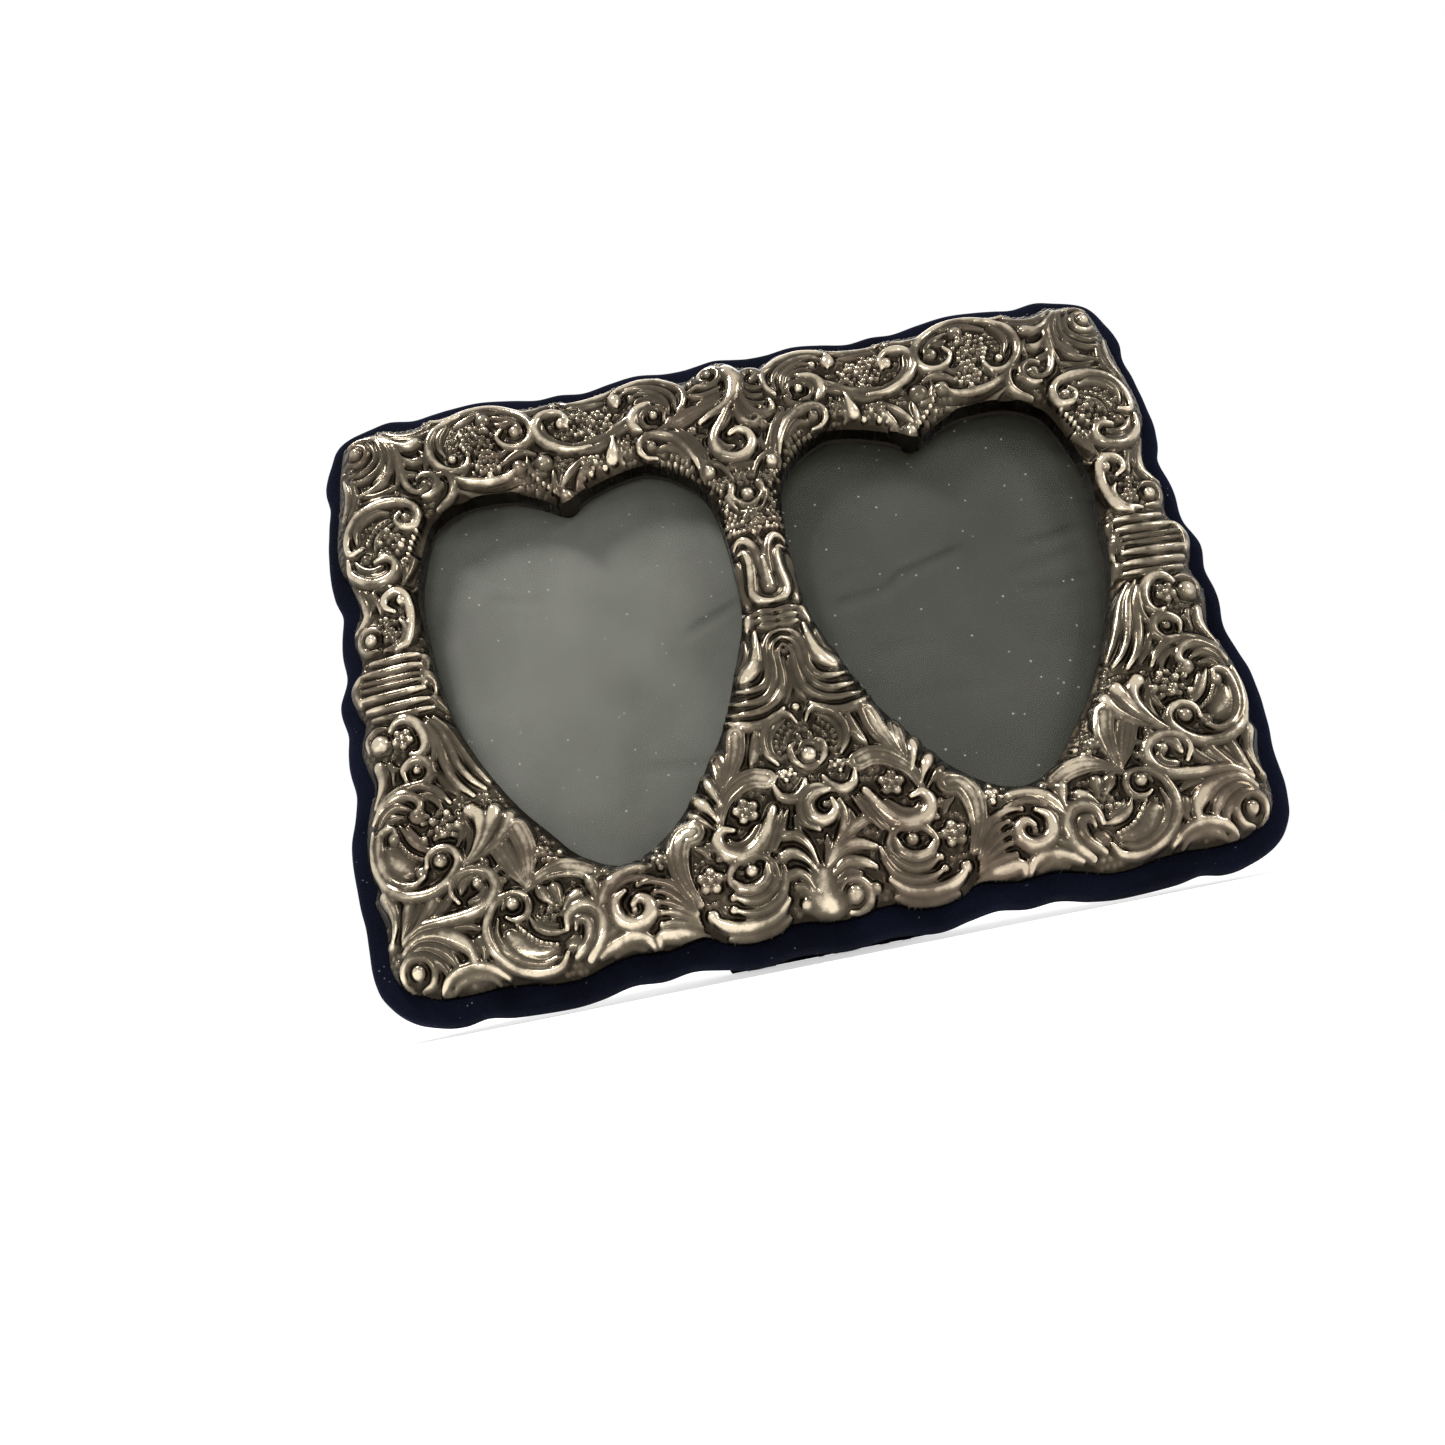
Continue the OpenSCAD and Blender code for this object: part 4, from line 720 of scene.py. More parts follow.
    chain(0.6, 1.2, 7, -4, -20.2, -5.8, -22.4, -6.5, -25, -5.6, -27.6),
    chain(0.55, 1.1, 5, -2.8, -21.4, -4.5, -23.3, -5.1, -25.4),
    berries(0.75, 1.5, -6, -31.8, 2.7, 1.5),
    ridge(0.95, 1.6, -9.3, -33.7, -8.2, -36.8, -5.3, -37.6, -3, -35.8, -2, -33.8),
    ridge(0.7, 1.4, -2, -30.8, -3.6, -28.4, -3.8, -25.8, -2.4, -24.6),
    ridge(0.5, 1.1, -1.4, -22.4, -1.2, -24),
    # Leaves and flowers beside the pods.
    dish(2.3, 1.9, -19.9, -32.4, -17.6, -27.8, -16, -23.8, -15.4, -20.2),
    ridge(1, 1.5, -13.2, -28, -11.6, -24.6, -10.8, -20.6),
    dish(1.7, 1.7, -20.9, -33.4, -20.6, -28.8, -20.8, -24.6),
    horn(1.5, 1.6, -21.8, -36.2, -23, -32.4, -24.5, -29),
    horn(1.5, 1.6, -23, -39.6, -24.8, -36, -27.1, -33.3),
    horn(0.9, 1.4, -24, -41.2, -26.6, -38.4, -28.8, -36.7),
    dish(2.3, 1.9, -23.1, -42, -21, -35.9, -17.4, -32.4, -13.8, -31.2, -10.6, -31.9),
    flower(3.4, 1.9, -16.4, -38.5),
    ridge(1.5, 1.9, -20, -42.4, -22.6, -42, -23.8, -44.4, -22.2, -47.4, -18.6, -48.6, -15.3, -47, -12.5, -43.3, -10.4,
          -38.9),
    ridge(0.8, 1.5, -21.2, -44.2, -20, -45.8, -17.2, -45.2, -14.4, -42.2),
    ball(1.1, 1.7, -20.9, -45.2),
    *(ridge(0.5, 1.5, *rib) for rib in (
        (-9.6, -39.3, -12.4, -44.6, -15.4, -49.6), (-8.4, -39.6, -11.0, -45.0, -13.9, -50.1),
        (-7.2, -39.8, -9.4, -44.4, -12.0, -48.8),
    )),
    dish(2.7, 1.9, -30, -57.2, -32.6, -51.6, -33.2, -46, -31.6, -41.6, -28.9, -40.9),
    ridge(0.6, 1.1, -29, -44.6, -27.2, -45.6, -26.2, -47.6),
    ridge(0.5, 1, -26.4, -44, -25.2, -46),
    flower(3.4, 1.8, -27, -52.6),
    ball(1, 1.4, -24.4, -48.2),
    # Bottom: volutes of the middle shell.
    ball(1.9, 2.2, -17.8, -52.2),
    ridge(0.8, 1.6, -21.2, -56.6, -22.9, -53.6, -21.4, -50.3, -18.2, -48.9, -14.9, -49.4, -12.7, -51.7, -12.2, -55),
    ridge(1.2, 1.8, -22, -53.8, -20.3, -55.8, -17.2, -56.1, -14.8, -54.2, -14.3, -51.6),
    ridge(0.9, 1.6, -22.4, -57.3, -19.8, -58.6, -16.6, -58.5, -13.8, -56.6, -12.3, -53.8),
    ball(1.2, 1.7, -22.8, -57.2),
    ridge(0.9, 1.6, -23, -59.9, -20.3, -61.1, -16.6, -61.1, -12.9, -59.1, -11.1, -55.9, -10.6, -52.6),
    ball(1.2, 1.7, -23.2, -59.8),
    ridge(1.1, 1.7, -28.4, -59.4, -26.6, -61.9, -22.6, -63.7, -18.4, -63.8, -14.3, -62.7, -11.1, -59.8),
    ball(1.7, 1.6, -27.9, -60.2),
    ridge(0.9, 1.3, -25.3, -65.2, -19.8, -66.2, -15.2, -65.6, -11.6, -63.4),
]
# The strokes along the middle, which isn't the same on both sides.
MIDDLE = [
    # Crest over the column.
    ball(1.5, 2, -3.2, 80.7),
    ridge(0.75, 1.7, -3.4, 77.9, -5.2, 79, -5.2, 81.4, -3.4, 82.9, -1.2, 82.4, -0.3, 80.2, -1.2, 77.9, -3.6, 76.7,
          -6.4, 77.2, -8.6, 76),
    horn(2.5, 2, -7.6, 65.8, -4.4, 67.6, -1.2, 69.2, 1.1, 71.2, 2.6, 74.2, 3.2, 77.4, 2.2, 80.6),
    ridge(0.8, 1.5, -0.6, 75.6, -3.4, 74.3, -6, 74, -8.6, 74.6),
    ridge(0.6, 1.2, -0.4, 74, -3.6, 72.4, -7, 72),
    dish(2, 1.5, -1, 71.8, -5, 70.6, -9, 69.4, -13.2, 67.6),
    ball(1.1, 1.6, -8.2, 79),
    ridge(1, 1.5, 6.2, 78.2, 6.9, 80.4, 8.8, 80.2, 9.1, 77.8, 7.4, 76.4),
    ridge(0.6, 1.3, 4.9, 76.2, 6.6, 74.2, 9.4, 73.6),
    ridge(0.6, 1.3, 4.6, 74, 6.4, 71.4, 9.4, 71.2),
    ridge(0.6, 1.3, 4.2, 71.6, 5.6, 69.4, 7.8, 68.6, 9.6, 68.8),
    ridge(0.95, 1.6, 3.9, 73.4, 4.4, 70, 5.6, 67.2, 7.6, 65.3, 9.9, 65.2, 11.3, 66.8, 11, 69.2),
    ball(1.2, 1.5, 8.7, 67),
    ridge(0.7, 1.5, 3, 70.6, 3.4, 67.4, 5.2, 64.6),
    ridge(0.95, 1.7, 2.2, 69.8, 2.1, 66.6, 3.3, 63.8, 5.7, 62.6, 7.6, 63.8),
    ball(1.7, 1.8, 7.9, 62.2),
    ridge(1.25, 2, 0.8, 69.6, -1.9, 65.9, -4.3, 62.5, -5.4, 59, -4.5, 55.6, -1.6, 53.7, 1.7, 54.1, 4.1, 56.9, 3.7,
          60.1, 1.2, 61.7, -1, 60.9),
    ridge(0.8, 1.5, -4, 59.9, -2.8, 57.3, -0.4, 57.1),
    ridge(0.6, 1.3, 1, 67.6, -0.6, 65.2, -2.4, 62.6),
    horn(0.7, 1.2, -8, 61.2, -8.6, 58.6, -7.6, 56.4),
    horn(0.7, 1.2, 7.2, 59.8, 6.4, 57.2, 6.8, 55.2),
    ball(1.5, 1.8, -9.9, 64),
    ridge(0.6, 1.2, -9.8, 61.1, -8.5, 61.8, -7.2, 61.6),
    ridge(0.8, 1.2, -3.4, 51.3, 0, 50.9, 3.4, 51.3),
    # Column: knot, berries and drops.
    ball(2.1, 2.1, 0, 42.6),
    horn(1.1, 1.6, -2.2, 40.2, -3.9, 42.6, -3.4, 45.4),
    horn(1.1, 1.6, 2.3, 40.2, 3.9, 42.6, 3.4, 45.4),
    ridge(0.7, 1.5, -2.9, 40.9, -0.1, 39.1, 2.8, 40.9),
    flower(2, 1.6, 0, 36.8),
    ridge(0.5, 0.8, -0.8, 44, 0.6, 42.2, -0.4, 41.4),
    ridge(0.5, 1.3, -1.4, 49.8, -1.2, 47.6),
    ridge(0.5, 1.3, 0.2, 49.4, 0.2, 47.2),
    ridge(0.5, 1.3, 2, 49.8, 1.8, 47.6),
    ridge(0.6, 1.2, -2.6, 37.8, 0, 37.2, 2.8, 38.2),
    berries(0.75, 1.5, 0, 34.2, 3.4, 3),
    horn(0.6, 1.4, 0.1, 27.6, 0.1, 29.6),
    horn(1.8, 2, 0, 23.6, 0, 19.6, 0, 16),
    ball(0.75, 1.2, 0, -1.6),
    ball(1.3, 1.6, -0.4, -16),
    ball(2.2, 1.9, 0, -28),
    ridge(0.5, 1.1, -2.4, -27.2, -0.6, -25, 1.8, -25.4, 2.9, -27.8),
    ridge(0.6, 1.1, -2.6, -30.2, 0, -31.2, 2.4, -30.2),
    # Below the column: knots, leaves and shell.
    ball(1.2, 1.8, 1.1, -40.4),
    ridge(1.2, 1.9, 2.7, -39.4, 3, -42.2, 0.6, -44, -2, -42.8, -2.6, -39.8, -0.6, -37.7, 2.4, -37.4),
    ridge(0.9, 1.6, 3.4, -37.8, 0, -35.8, -3.2, -37.6, -4.6, -40.8, -4, -44, -1.4, -46),
    ridge(0.9, 1.6, 4.4, -39.8, 4.9, -43, 3.6, -47.2, 1.3, -50.6, -1.2, -54),
    ridge(0.5, 1.2, 6, -42.4, 6.4, -45, 5, -47.6),
    ridge(0.6, 1.2, 0, -47.2, -0.6, -50.8, -1.8, -54),
    ridge(0.6, 1.2, -6.2, -41.8, -5.8, -45.4, -4, -48.2),
    ridge(3.2, 1.4, -2.8, -55.6, -3.6, -59.4, -2.4, -63.2),
    horn(1.3, 1.7, -3.4, -53.6, -4.4, -49.2, -6.6, -46.4, -9, -45.9),
    horn(1.4, 1.7, -3.8, -55.2, -6, -51.6, -8.4, -49.9, -10.6, -50.4),
    horn(1.2, 1.5, -5.2, -58.8, -6.4, -55.6, -8.2, -54.4, -10, -54.8),
    horn(0.9, 1.3, -6.2, -59.6, -7.4, -57.8, -8.8, -57.4),
    ball(1.6, 1.7, -7.6, -61.5),
    horn(1.3, 1.5, -1.2, -54, 2.2, -49.8, 5.6, -47.2, 8.6, -45.8),
    ridge(1.2, 1.5, -1.4, -54.4, 1.8, -51.4, 5.6, -50.6, 9.6, -51.9),
    ridge(1, 1.4, -0.6, -56.4, 2.8, -54.2, 6.2, -54.8, 8.8, -56.6),
    ridge(0.7, 1.3, -0.2, -58.2, 2.6, -56.6, 5.4, -57.2),
    ball(2.3, 2.2, 3.1, -61.4),
    ridge(0.8, 1.6, 0.2, -60.2, 1.8, -58.4, 4.6, -58.5, 6.3, -60.6, 6.1, -63.4, 3.9, -65.1, 1.4, -64.8),
    ball(1.6, 1.7, 7.8, -60.9),
]


@dataclass
class Relief:
    """The height of the cast front over the frame's plane, drawn stroke by stroke, in mm."""

    # The dome under the ornament: its height by the distance from the outer edge, and from a window.
    edge_run: tuple[float, ...] = (0.0, 0.3, 0.9, 2.0, 3.6, 6.0, 9.0)
    edge_rise: tuple[float, ...] = (11.4, 12.5, 13.3, 14.1, 14.9, 15.6, 15.9)
    rim_run: tuple[float, ...] = (0.0, 0.35, 1.0, 2.2, 4.0)
    rim_rise: tuple[float, ...] = (12.6, 13.7, 14.4, 15.1, 15.9)
    # How far that dome is blurred and how far the bare ground lies under it, the highest crest, and the
    # height below that in which crests flatten.
    dome_blur: float = 0.5
    ground: float = 1.15
    top: float = 17.85
    knee: float = 0.7
    # The ornament on the dome: what its lines and its broad masses add, and how far masses are blurred.
    line_gain: float = 0.85
    mass_gain: float = 0.45
    mass_blur: float = 1.1
    # Berries: rows, columns, shift of every other row and jitter, as shares of their radius.
    berry_row: float = 1.62
    berry_column: float = 1.85
    berry_shift: float = 0.92
    berry_jitter: float = 0.26
    # The ground's beads: spacing, radius, height, jitter, the space each needs and the height that counts as bare.
    bead_step: float = 1.35
    bead_r: float = 0.62
    bead_h: float = 0.75
    bead_jitter: float = 0.2
    bead_space: float = 0.42
    bare: float = 0.3
    # The lines chased in a dished leaf: their place from its middle, 0, to its edge, 1, and their width.
    chased: tuple[tuple[float, float], ...] = ((0.3, 0.09), (0.62, 0.08))
    chased_depth: float = 0.26
    # The metal's unevenness: its sizes and gains, how much is left on the ground and lost by worn
    # crests, and the height from which a crest is worn.
    rough: tuple[tuple[float, float], ...] = ((0.3, 0.13), (0.9, 0.2))
    rough_ground: float = 0.7
    rough_lost: float = 0.35
    worn_height: float = 1.6
    # Wear and painted light: what flat metal has, and what narrow crests, broad crests and plump leaves add to it.
    # Besides wear and patina, it paints highlights on crests and shade in hollows.
    flat_wear_and_light: float = 0.46
    near_wear_and_light: tuple[float, float] = (0.55, 0.52)
    broad_wear_and_light: tuple[float, float] = (1.6, 0.36)
    wear_polish: float = 0.32
    x: np.ndarray = field(default_factory=lambda: np.arange(-104, 104 + PITCH / 2, PITCH))
    v: np.ndarray = field(default_factory=lambda: np.arange(-68.5, 88 + PITCH / 2, PITCH))

    def __post_init__(self) -> None:
        """Works out the casting's outlines, its inside and its heights."""
        self.outer = smooth_curve(mirrored_loop(METAL_EDGE), 0.2, True)
        self.hearts = [heart_loop(side) for side in Side]
        metal, left, right = (self.inside(loop) for loop in (self.outer, *self.hearts))
        self.solid = metal & ~left & ~right
        self.h, self.polish = np.zeros((2, len(self.v), len(self.x)))
        self.random = np.random.default_rng(SEED)
        for stroke in LEFT_HALF:
            self.stamp(stroke)
        self.h = self.blended(self.h, self.h[:, ::-1])
        self.polish = np.maximum(self.polish, self.polish[:, ::-1])
        for stroke in MIDDLE:
            self.stamp(stroke)
        self.fill_ground()
        self.shape()

    def inside(self, loop: np.ndarray) -> np.ndarray:
        """Finds the grid's points inside a closed curve.

        Args:
            loop: The curve's points.

        Returns:
            True for each grid point inside it.
        """
        flips = np.zeros((len(self.v), len(self.x) + 1), int)
        for (x0, v0), (x1, v1) in zip(loop, np.roll(loop, -1, axis=0)):
            low, high = (math.ceil((end - self.v[0]) / PITCH) for end in (min(v0, v1), max(v0, v1)))
            for j in range(low, high):
                x = x0 + (self.v[j] - v0) * (x1 - x0) / (v1 - v0)
                flips[j, max(0, math.ceil((x - self.x[0]) / PITCH))] += 1
        return np.cumsum(flips, axis=1)[:, :-1] % 2 == 1

    def window(self, points: np.ndarray, reach: float) -> tuple[slice, slice]:
        """Finds the part of the grid that covers points with a margin.

        Args:
            points: One point, or a row for each.
            reach: The margin, in mm.

        Returns:
            The grid's rows and its columns.
        """
        points = np.atleast_2d(points)
        (x0, v0), (x1, v1) = points.min(axis=0) - reach, points.max(axis=0) + reach
        i0, i1 = int((x0 - self.x[0]) / PITCH), int((x1 - self.x[0]) / PITCH) + 2
        j0, j1 = int((v0 - self.v[0]) / PITCH), int((v1 - self.v[0]) / PITCH) + 2
        return slice(max(0, j0), max(0, min(len(self.v), j1))), slice(max(0, i0), max(0, min(len(self.x), i1)))

    def offsets(self, jj: slice, ii: slice, at: np.ndarray) -> tuple[np.ndarray, np.ndarray]:
        """How far the grid's points in some rows and columns are from a point, in x and in v."""
        return self.x[ii][None, :] - at[0], self.v[jj][:, None] - at[1]

    @staticmethod
    def blended(a: np.ndarray, b: np.ndarray, soft: float = 0.3) -> np.ndarray:
        """The higher of two heights, rounded a little where they meet.

        Args:
            a, b: The heights.
            soft: How near they are where the rounding starts, in mm.

        Returns:
            The joined heights.
        """
        gap = np.abs(a - b)
        return np.maximum(a, b) + np.where(gap < soft, (soft - gap) ** 2 / (4 * soft), 0) * (np.maximum(a, b) > 0)

    def stamp(self, stroke: Stroke) -> None:
        """Draws one stroke, or each bead, berry or petal of one.

        Args:
            stroke: The stroke.
        """
        p = np.array(stroke.points).reshape(-1, 2)
        if stroke.cut is Cut.CHAIN:
            r, n = stroke.sizes
            line = smooth_curve(p, 0.2)
            for k in np.linspace(0, len(line) - 1, int(n)).astype(int):
                self.knob(line[k], r, stroke.height)
        elif stroke.cut is Cut.BERRIES:
            self.heap(p[0], *stroke.sizes, stroke.height)
        elif stroke.cut is Cut.FLOWER:
            r = stroke.sizes[0]
            turn = self.random.uniform(0, 1.2)
            for a in turn + np.arange(5) * math.tau / 5:
                self.knob(p[0] + 0.6 * r * np.array([math.cos(a), math.sin(a)]), 0.44 * r, stroke.height)
            self.knob(p[0], 0.34 * r, stroke.height + 0.15)
        elif stroke.cut is Cut.BALL:
            self.knob(p[0], stroke.sizes[0], stroke.height)
        else:
            self.draw(p, stroke)

    def heap(self, at: np.ndarray, r: float, rx: float, rv: float, h: float) -> None:
        """Heaps berries in an oval, on a jittered hexagonal grid.

        Args:
            at: The oval's middle.
            r: The berries' radius.
            rx, rv: Half the oval's width and height.
            h: The berries' height.
        """
        for j, v in enumerate(np.arange(-rv, rv + 0.01, self.berry_row * r)):
            for x in np.arange(-rx - 2 * r, rx + 2 * r, self.berry_column * r) + (j % 2) * self.berry_shift * r:
                if (x / (rx + 0.01)) ** 2 + (v / (rv + 0.01)) ** 2 <= 1.05:
                    dx, dv, grow = self.random.uniform(-self.berry_jitter, self.berry_jitter, 3) * r
                    self.knob(at + [x + dx, v + dv], r + grow, h + grow)

    def knob(self, at: np.ndarray, r: float, h: float) -> None:
        """Draws one ball.

        Args:
            at: Its middle.
            r: Its radius.
            h: Its height over its ground.
        """
        jj, ii = self.window(at, r)
        dx, dv = self.offsets(jj, ii, at)
        u = (dx**2 + dv**2) / r**2
        add = np.where(u < 1, h * np.clip(1 - u, 0, 1) ** 0.55, -1)
        self.h[jj, ii] = self.blended(self.h[jj, ii], add, 0.08)

    def draw(self, points: np.ndarray, stroke: Stroke) -> None:
        """Draws a long stroke with its changing width.

        Args:
            points: The points that it passes.
            stroke: Its cut, radii and height.
        """
        line = smooth_curve(points, 0.35)
        s = run_along(line)
        r = np.interp(s / s[-1], np.linspace(0, 1, len(stroke.sizes)), stroke.sizes)
        share = np.full(self.h.shape, 9.0)
        for a, b, ra, rb in zip(line, line[1:], r, r[1:]):
            jj, ii = self.window(np.array([a, b]), max(ra, rb) + PITCH)
            dx, dv = self.offsets(jj, ii, a)
            d = b - a
            t = np.clip((dx * d[0] + dv * d[1]) / (d @ d + 1e-12), 0, 1)
            far = np.hypot(dx - t * d[0], dv - t * d[1]) / np.maximum(ra + (rb - ra) * t, 0.05)
            share[jj, ii] = np.minimum(share[jj, ii], far)
        spot = self.window(line, max(r) + PITCH)
        u, on, here = np.clip(share[spot], 0, 1), share[spot] < 1, self.h[spot]
        if stroke.cut is Cut.GROOVE:
            self.h[spot] = here - stroke.height * (1 - u * u) ** 1.5
            return
        self.h[spot] = np.where(on, self.blended(here, stroke.height * self.profile(stroke.cut, u)), here)
        shine = np.clip(max(stroke.sizes) - 1.3, 0, 1) * np.clip(1 - u, 0, 1)
        self.polish[spot] = np.maximum(self.polish[spot], np.where(on, shine, 0))

    def profile(self, way: Cut, u: np.ndarray) -> np.ndarray:
        """How high a stroke is across its width.

        Args:
            way: Round or dished.
            u: The place from its middle, 0, to its edge, 1.

        Returns:
            The height there, as a share of the stroke's height.
        """
        if way is Cut.ROUND:
            return np.clip(1 - u * u, 0, 1) ** 0.7
        lines = sum(bell(u - at, width) for at, width in self.chased)
        hollow = 0.55 + 0.45 * np.clip(u / 0.72, 0, 1) ** 2
        return np.clip(1 - u**4, 0, 1) * hollow * (1 - self.chased_depth * lines)

    def fill_ground(self) -> None:
        """Sets small beads where the strokes left bare ground, as the casting has them."""
        step = self.bead_step
        for j, v in enumerate(np.arange(self.v[0], self.v[-1], step)):
            for x in np.arange(self.x[0], self.x[-1], step) + (j % 2) * step / 2:
                dx, dv, dr = self.random.uniform(-self.bead_jitter, self.bead_jitter, 3)
                spot = self.window(np.array([x, v]), self.bead_space)
                if self.solid[spot].all() and self.h[spot].size and self.h[spot].max() < self.bare:
                    self.knob(np.array([x + dx, v + dv]), self.bead_r + dr * 0.6, self.bead_h + dr)

    def distance(self, loop: np.ndarray, reach: float) -> np.ndarray:
        """Measures how far each grid point is from a curve.

        Args:
            loop: The curve's points.
            reach: The distance beyond which it doesn't matter, in mm.

        Returns:
            The distances, up to reach.
        """
        far = np.full(self.h.shape, reach)
        for at in loop:
            jj, ii = self.window(at, reach)
            dx, dv = self.offsets(jj, ii, at)
            far[jj, ii] = np.minimum(far[jj, ii], np.sqrt(dx**2 + dv**2))
        return far

    @staticmethod
    def blur(grid: np.ndarray, radius: float) -> np.ndarray:
        """Blurs a grid by three box means.

        Args:
            grid: The grid.
            radius: About how far each value spreads, in mm.

        Returns:
            The blurred grid.
        """
        r = max(1, round(radius / PITCH))
        for _ in range(3):
            for axis in (0, 1):
                wide = np.pad(grid, [(r + 1, r) if a == axis else (0, 0) for a in (0, 1)], mode="edge")
                total = np.cumsum(wide, axis=axis)
                low, high = [slice(None)] * 2, [slice(None)] * 2
                low[axis], high[axis] = slice(0, -2 * r - 1), slice(2 * r + 1, None)
                grid = (total[tuple(high)] - total[tuple(low)]) / (2 * r + 1)
        return grid

    def shape(self) -> None:
        """Lays the ornament over the casting's dome, and works out where it is worn and dark with patina, and where it
        gets painted shade in hollows and painted highlights on crests.
        """
        out = self.distance(self.outer[::2], self.edge_run[-1])
        rim = np.minimum(*(self.distance(h[::2], self.rim_run[-1]) for h in self.hearts))
        dome = np.minimum(np.interp(out, self.edge_run, self.edge_rise), np.interp(rim, self.rim_run, self.rim_rise))
        rough = sum(
            self.blur(self.random.normal(size=self.h.shape), size) * size * gain for size, gain in self.rough
        )
        lines = 0.5 * self.h + 0.5 * self.blur(self.h, PITCH)
        mass = self.blur(self.h, self.mass_blur)
        crest_level = np.clip(self.h / self.worn_height, 0, 1)
        n = self.blur(dome, self.dome_blur) - self.ground + lines * self.line_gain + mass * self.mass_gain
        n += rough * (self.rough_ground - self.rough_lost * crest_level)
        start = self.top - self.knee
        self.n = np.where(n > start, start + self.knee * np.tanh((n - start) / self.knee), n)
        # Crests come out lighter and hollows darker: wear and patina, and painted highlights and painted shade as well.
        near, broad = (self.n - self.blur(self.n, size) for size, _ in (self.near_wear_and_light, self.broad_wear_and_light))
        wear_and_painted_light = self.flat_wear_and_light + self.near_wear_and_light[1] * near + self.broad_wear_and_light[1] * broad + self.wear_polish * self.polish
        self.wear_and_painted_light = np.clip(wear_and_painted_light, 0, 1)


class Rim(Enum):
    """The edges of the casting that fall away, by the number that their points carry."""

    OUTER = 1.0
    WINDOW = 2.0


@dataclass
class FrontCasing:
    """The cast front, in four pieces side by side that meet edge to edge."""

    relief: Relief
    seams: tuple[float, ...] = (-104.0, -52.0, 0.0, 52.0, 104.0)
    names: tuple[str, ...] = ("casing_far_left", "casing_mid_left", "casing_mid_right", "casing_far_right")
    # How far down the edges go, and how far their rounding drops below the dome.
    foot: float = 10.0
    window_foot: float = 7.1
    edge_drop: float = 0.5
    window_drop: float = 0.25
    # The value of wear and painted light at the foot of an edge, dark as patina and as painted shade where the metal
    # meets the velvet or the glass, and the share of it that is left along its top.
    foot_patina_and_shade: float = 0.15
    edge_share: float = 0.8

    def build(self) -> list[bpy.types.Object]:
        """Builds the four pieces.

        Returns:
            The pieces, from left to right.
        """
        return [self.piece(n, a, b) for n, a, b in zip(self.names, self.seams, self.seams[1:])]

    def piece(self, name: str, x0: float, x1: float) -> bpy.types.Object:
        """Builds the piece between two upright seams.

        Args:
            name: The piece's name.
            x0, x1: The seams' places, in mm.

        Returns:
            The finished piece.
        """
        r = self.relief
        first, last = (round((x - r.x[0]) / PITCH) for x in (x0, x1))
        columns, rows = last - first, len(r.v) - 1
        piece, share = add_grid(name, columns, rows)
        mesh = piece.data
        ii = np.rint(share[:, 0] * columns).astype(int) + first
        jj = np.rint(share[:, 1] * rows).astype(int)
        corner = np.empty(len(mesh.loops), int)
        mesh.loops.foreach_get("vertex_index", corner)
        metal = r.solid[jj, ii][corner.reshape(-1, 4)].all(axis=1)
        x, v, n, rim = self.snapped(jj, ii)
        mesh.vertices.foreach_set("co", LEAN.world(x, v, n).ravel())
        # Wear and patina, with painted shade in the hollows and painted highlights on the crests.
        set_values(mesh, "wear_and_painted_light", r.wear_and_painted_light[jj, ii])
        set_values(mesh, "rim", rim)
        bpy.ops.object.mode_set(mode="EDIT")
        bpy.ops.mesh.select_mode(type="FACE")
        self.select_faces(mesh, ~metal)
        bpy.ops.mesh.delete(type="FACE")
        self.wall(mesh)
        bpy.ops.object.mode_set(mode="OBJECT")
        self.drop_wall(mesh)
        bpy.ops.object.shade_smooth()
        return piece

    def on_edge(self) -> np.ndarray:
        """Finds the grid points on the metal's edges.

        Returns:
            True for each grid point with metal in some, but not all, of the cells round it.
        """
        solid = self.relief.solid
        cells = solid[:-1, :-1] & solid[1:, :-1] & solid[:-1, 1:] & solid[1:, 1:]
        used = sum(np.pad(cells, ((dj, 1 - dj), (di, 1 - di))).astype(int) for dj in (0, 1) for di in (0, 1))
        return (used > 0) & (used < 4)

    def snapped(self, jj: np.ndarray, ii: np.ndarray) -> tuple[np.ndarray, ...]:
        """Places grid points, and moves those on an edge to the nearest point of its curve.

        Args:
            jj, ii: The points' rows and columns.

        Returns:
            Their x, v and n, and the number of the rim that each is on, or 0.
        """
        r = self.relief
        x, v, n, rim = r.x[ii], r.v[jj], r.n[jj, ii], np.zeros(len(ii))
        loops = np.vstack([r.outer, *r.hearts])
        for k in np.flatnonzero(self.on_edge()[jj, ii]):
            near = int(((loops[:, 0] - x[k]) ** 2 + (loops[:, 1] - v[k]) ** 2).argmin())
            outer = near < len(r.outer)
            x[k], v[k] = loops[near]
            n[k] -= self.edge_drop if outer else self.window_drop
            rim[k] = (Rim.OUTER if outer else Rim.WINDOW).value
        return x, v, n, rim

    @staticmethod
    def select_faces(mesh: bpy.types.Mesh, chosen: np.ndarray) -> None:
        """Selects faces of the mesh in edit mode.

        Args:
            mesh: The mesh.
            chosen: True for each face to select.
        """
        edit = bmesh.from_edit_mesh(mesh)
        for face, on in zip(edit.faces, chosen):
            face.select_set(bool(on))
        bmesh.update_edit_mesh(mesh)

    @staticmethod
    def wall(mesh: bpy.types.Mesh) -> None:
        """Extrudes the piece's outer and window edges, but not its seams.

        Args:
            mesh: The piece's mesh, in edit mode.
        """
        bpy.ops.mesh.select_mode(type="EDGE")
        bpy.ops.mesh.select_all(action="DESELECT")
        edit = bmesh.from_edit_mesh(mesh)
        rim = edit.verts.layers.float["rim"]
        for edge in edit.edges:
            if edge.is_boundary and edge.verts[0][rim] > 0 and edge.verts[1][rim] > 0:
                edge.select_set(True)
                edge.smooth = edge.verts[0][rim] <= Rim.OUTER.value
        bmesh.update_edit_mesh(mesh)
        bpy.ops.mesh.extrude_edges_move()

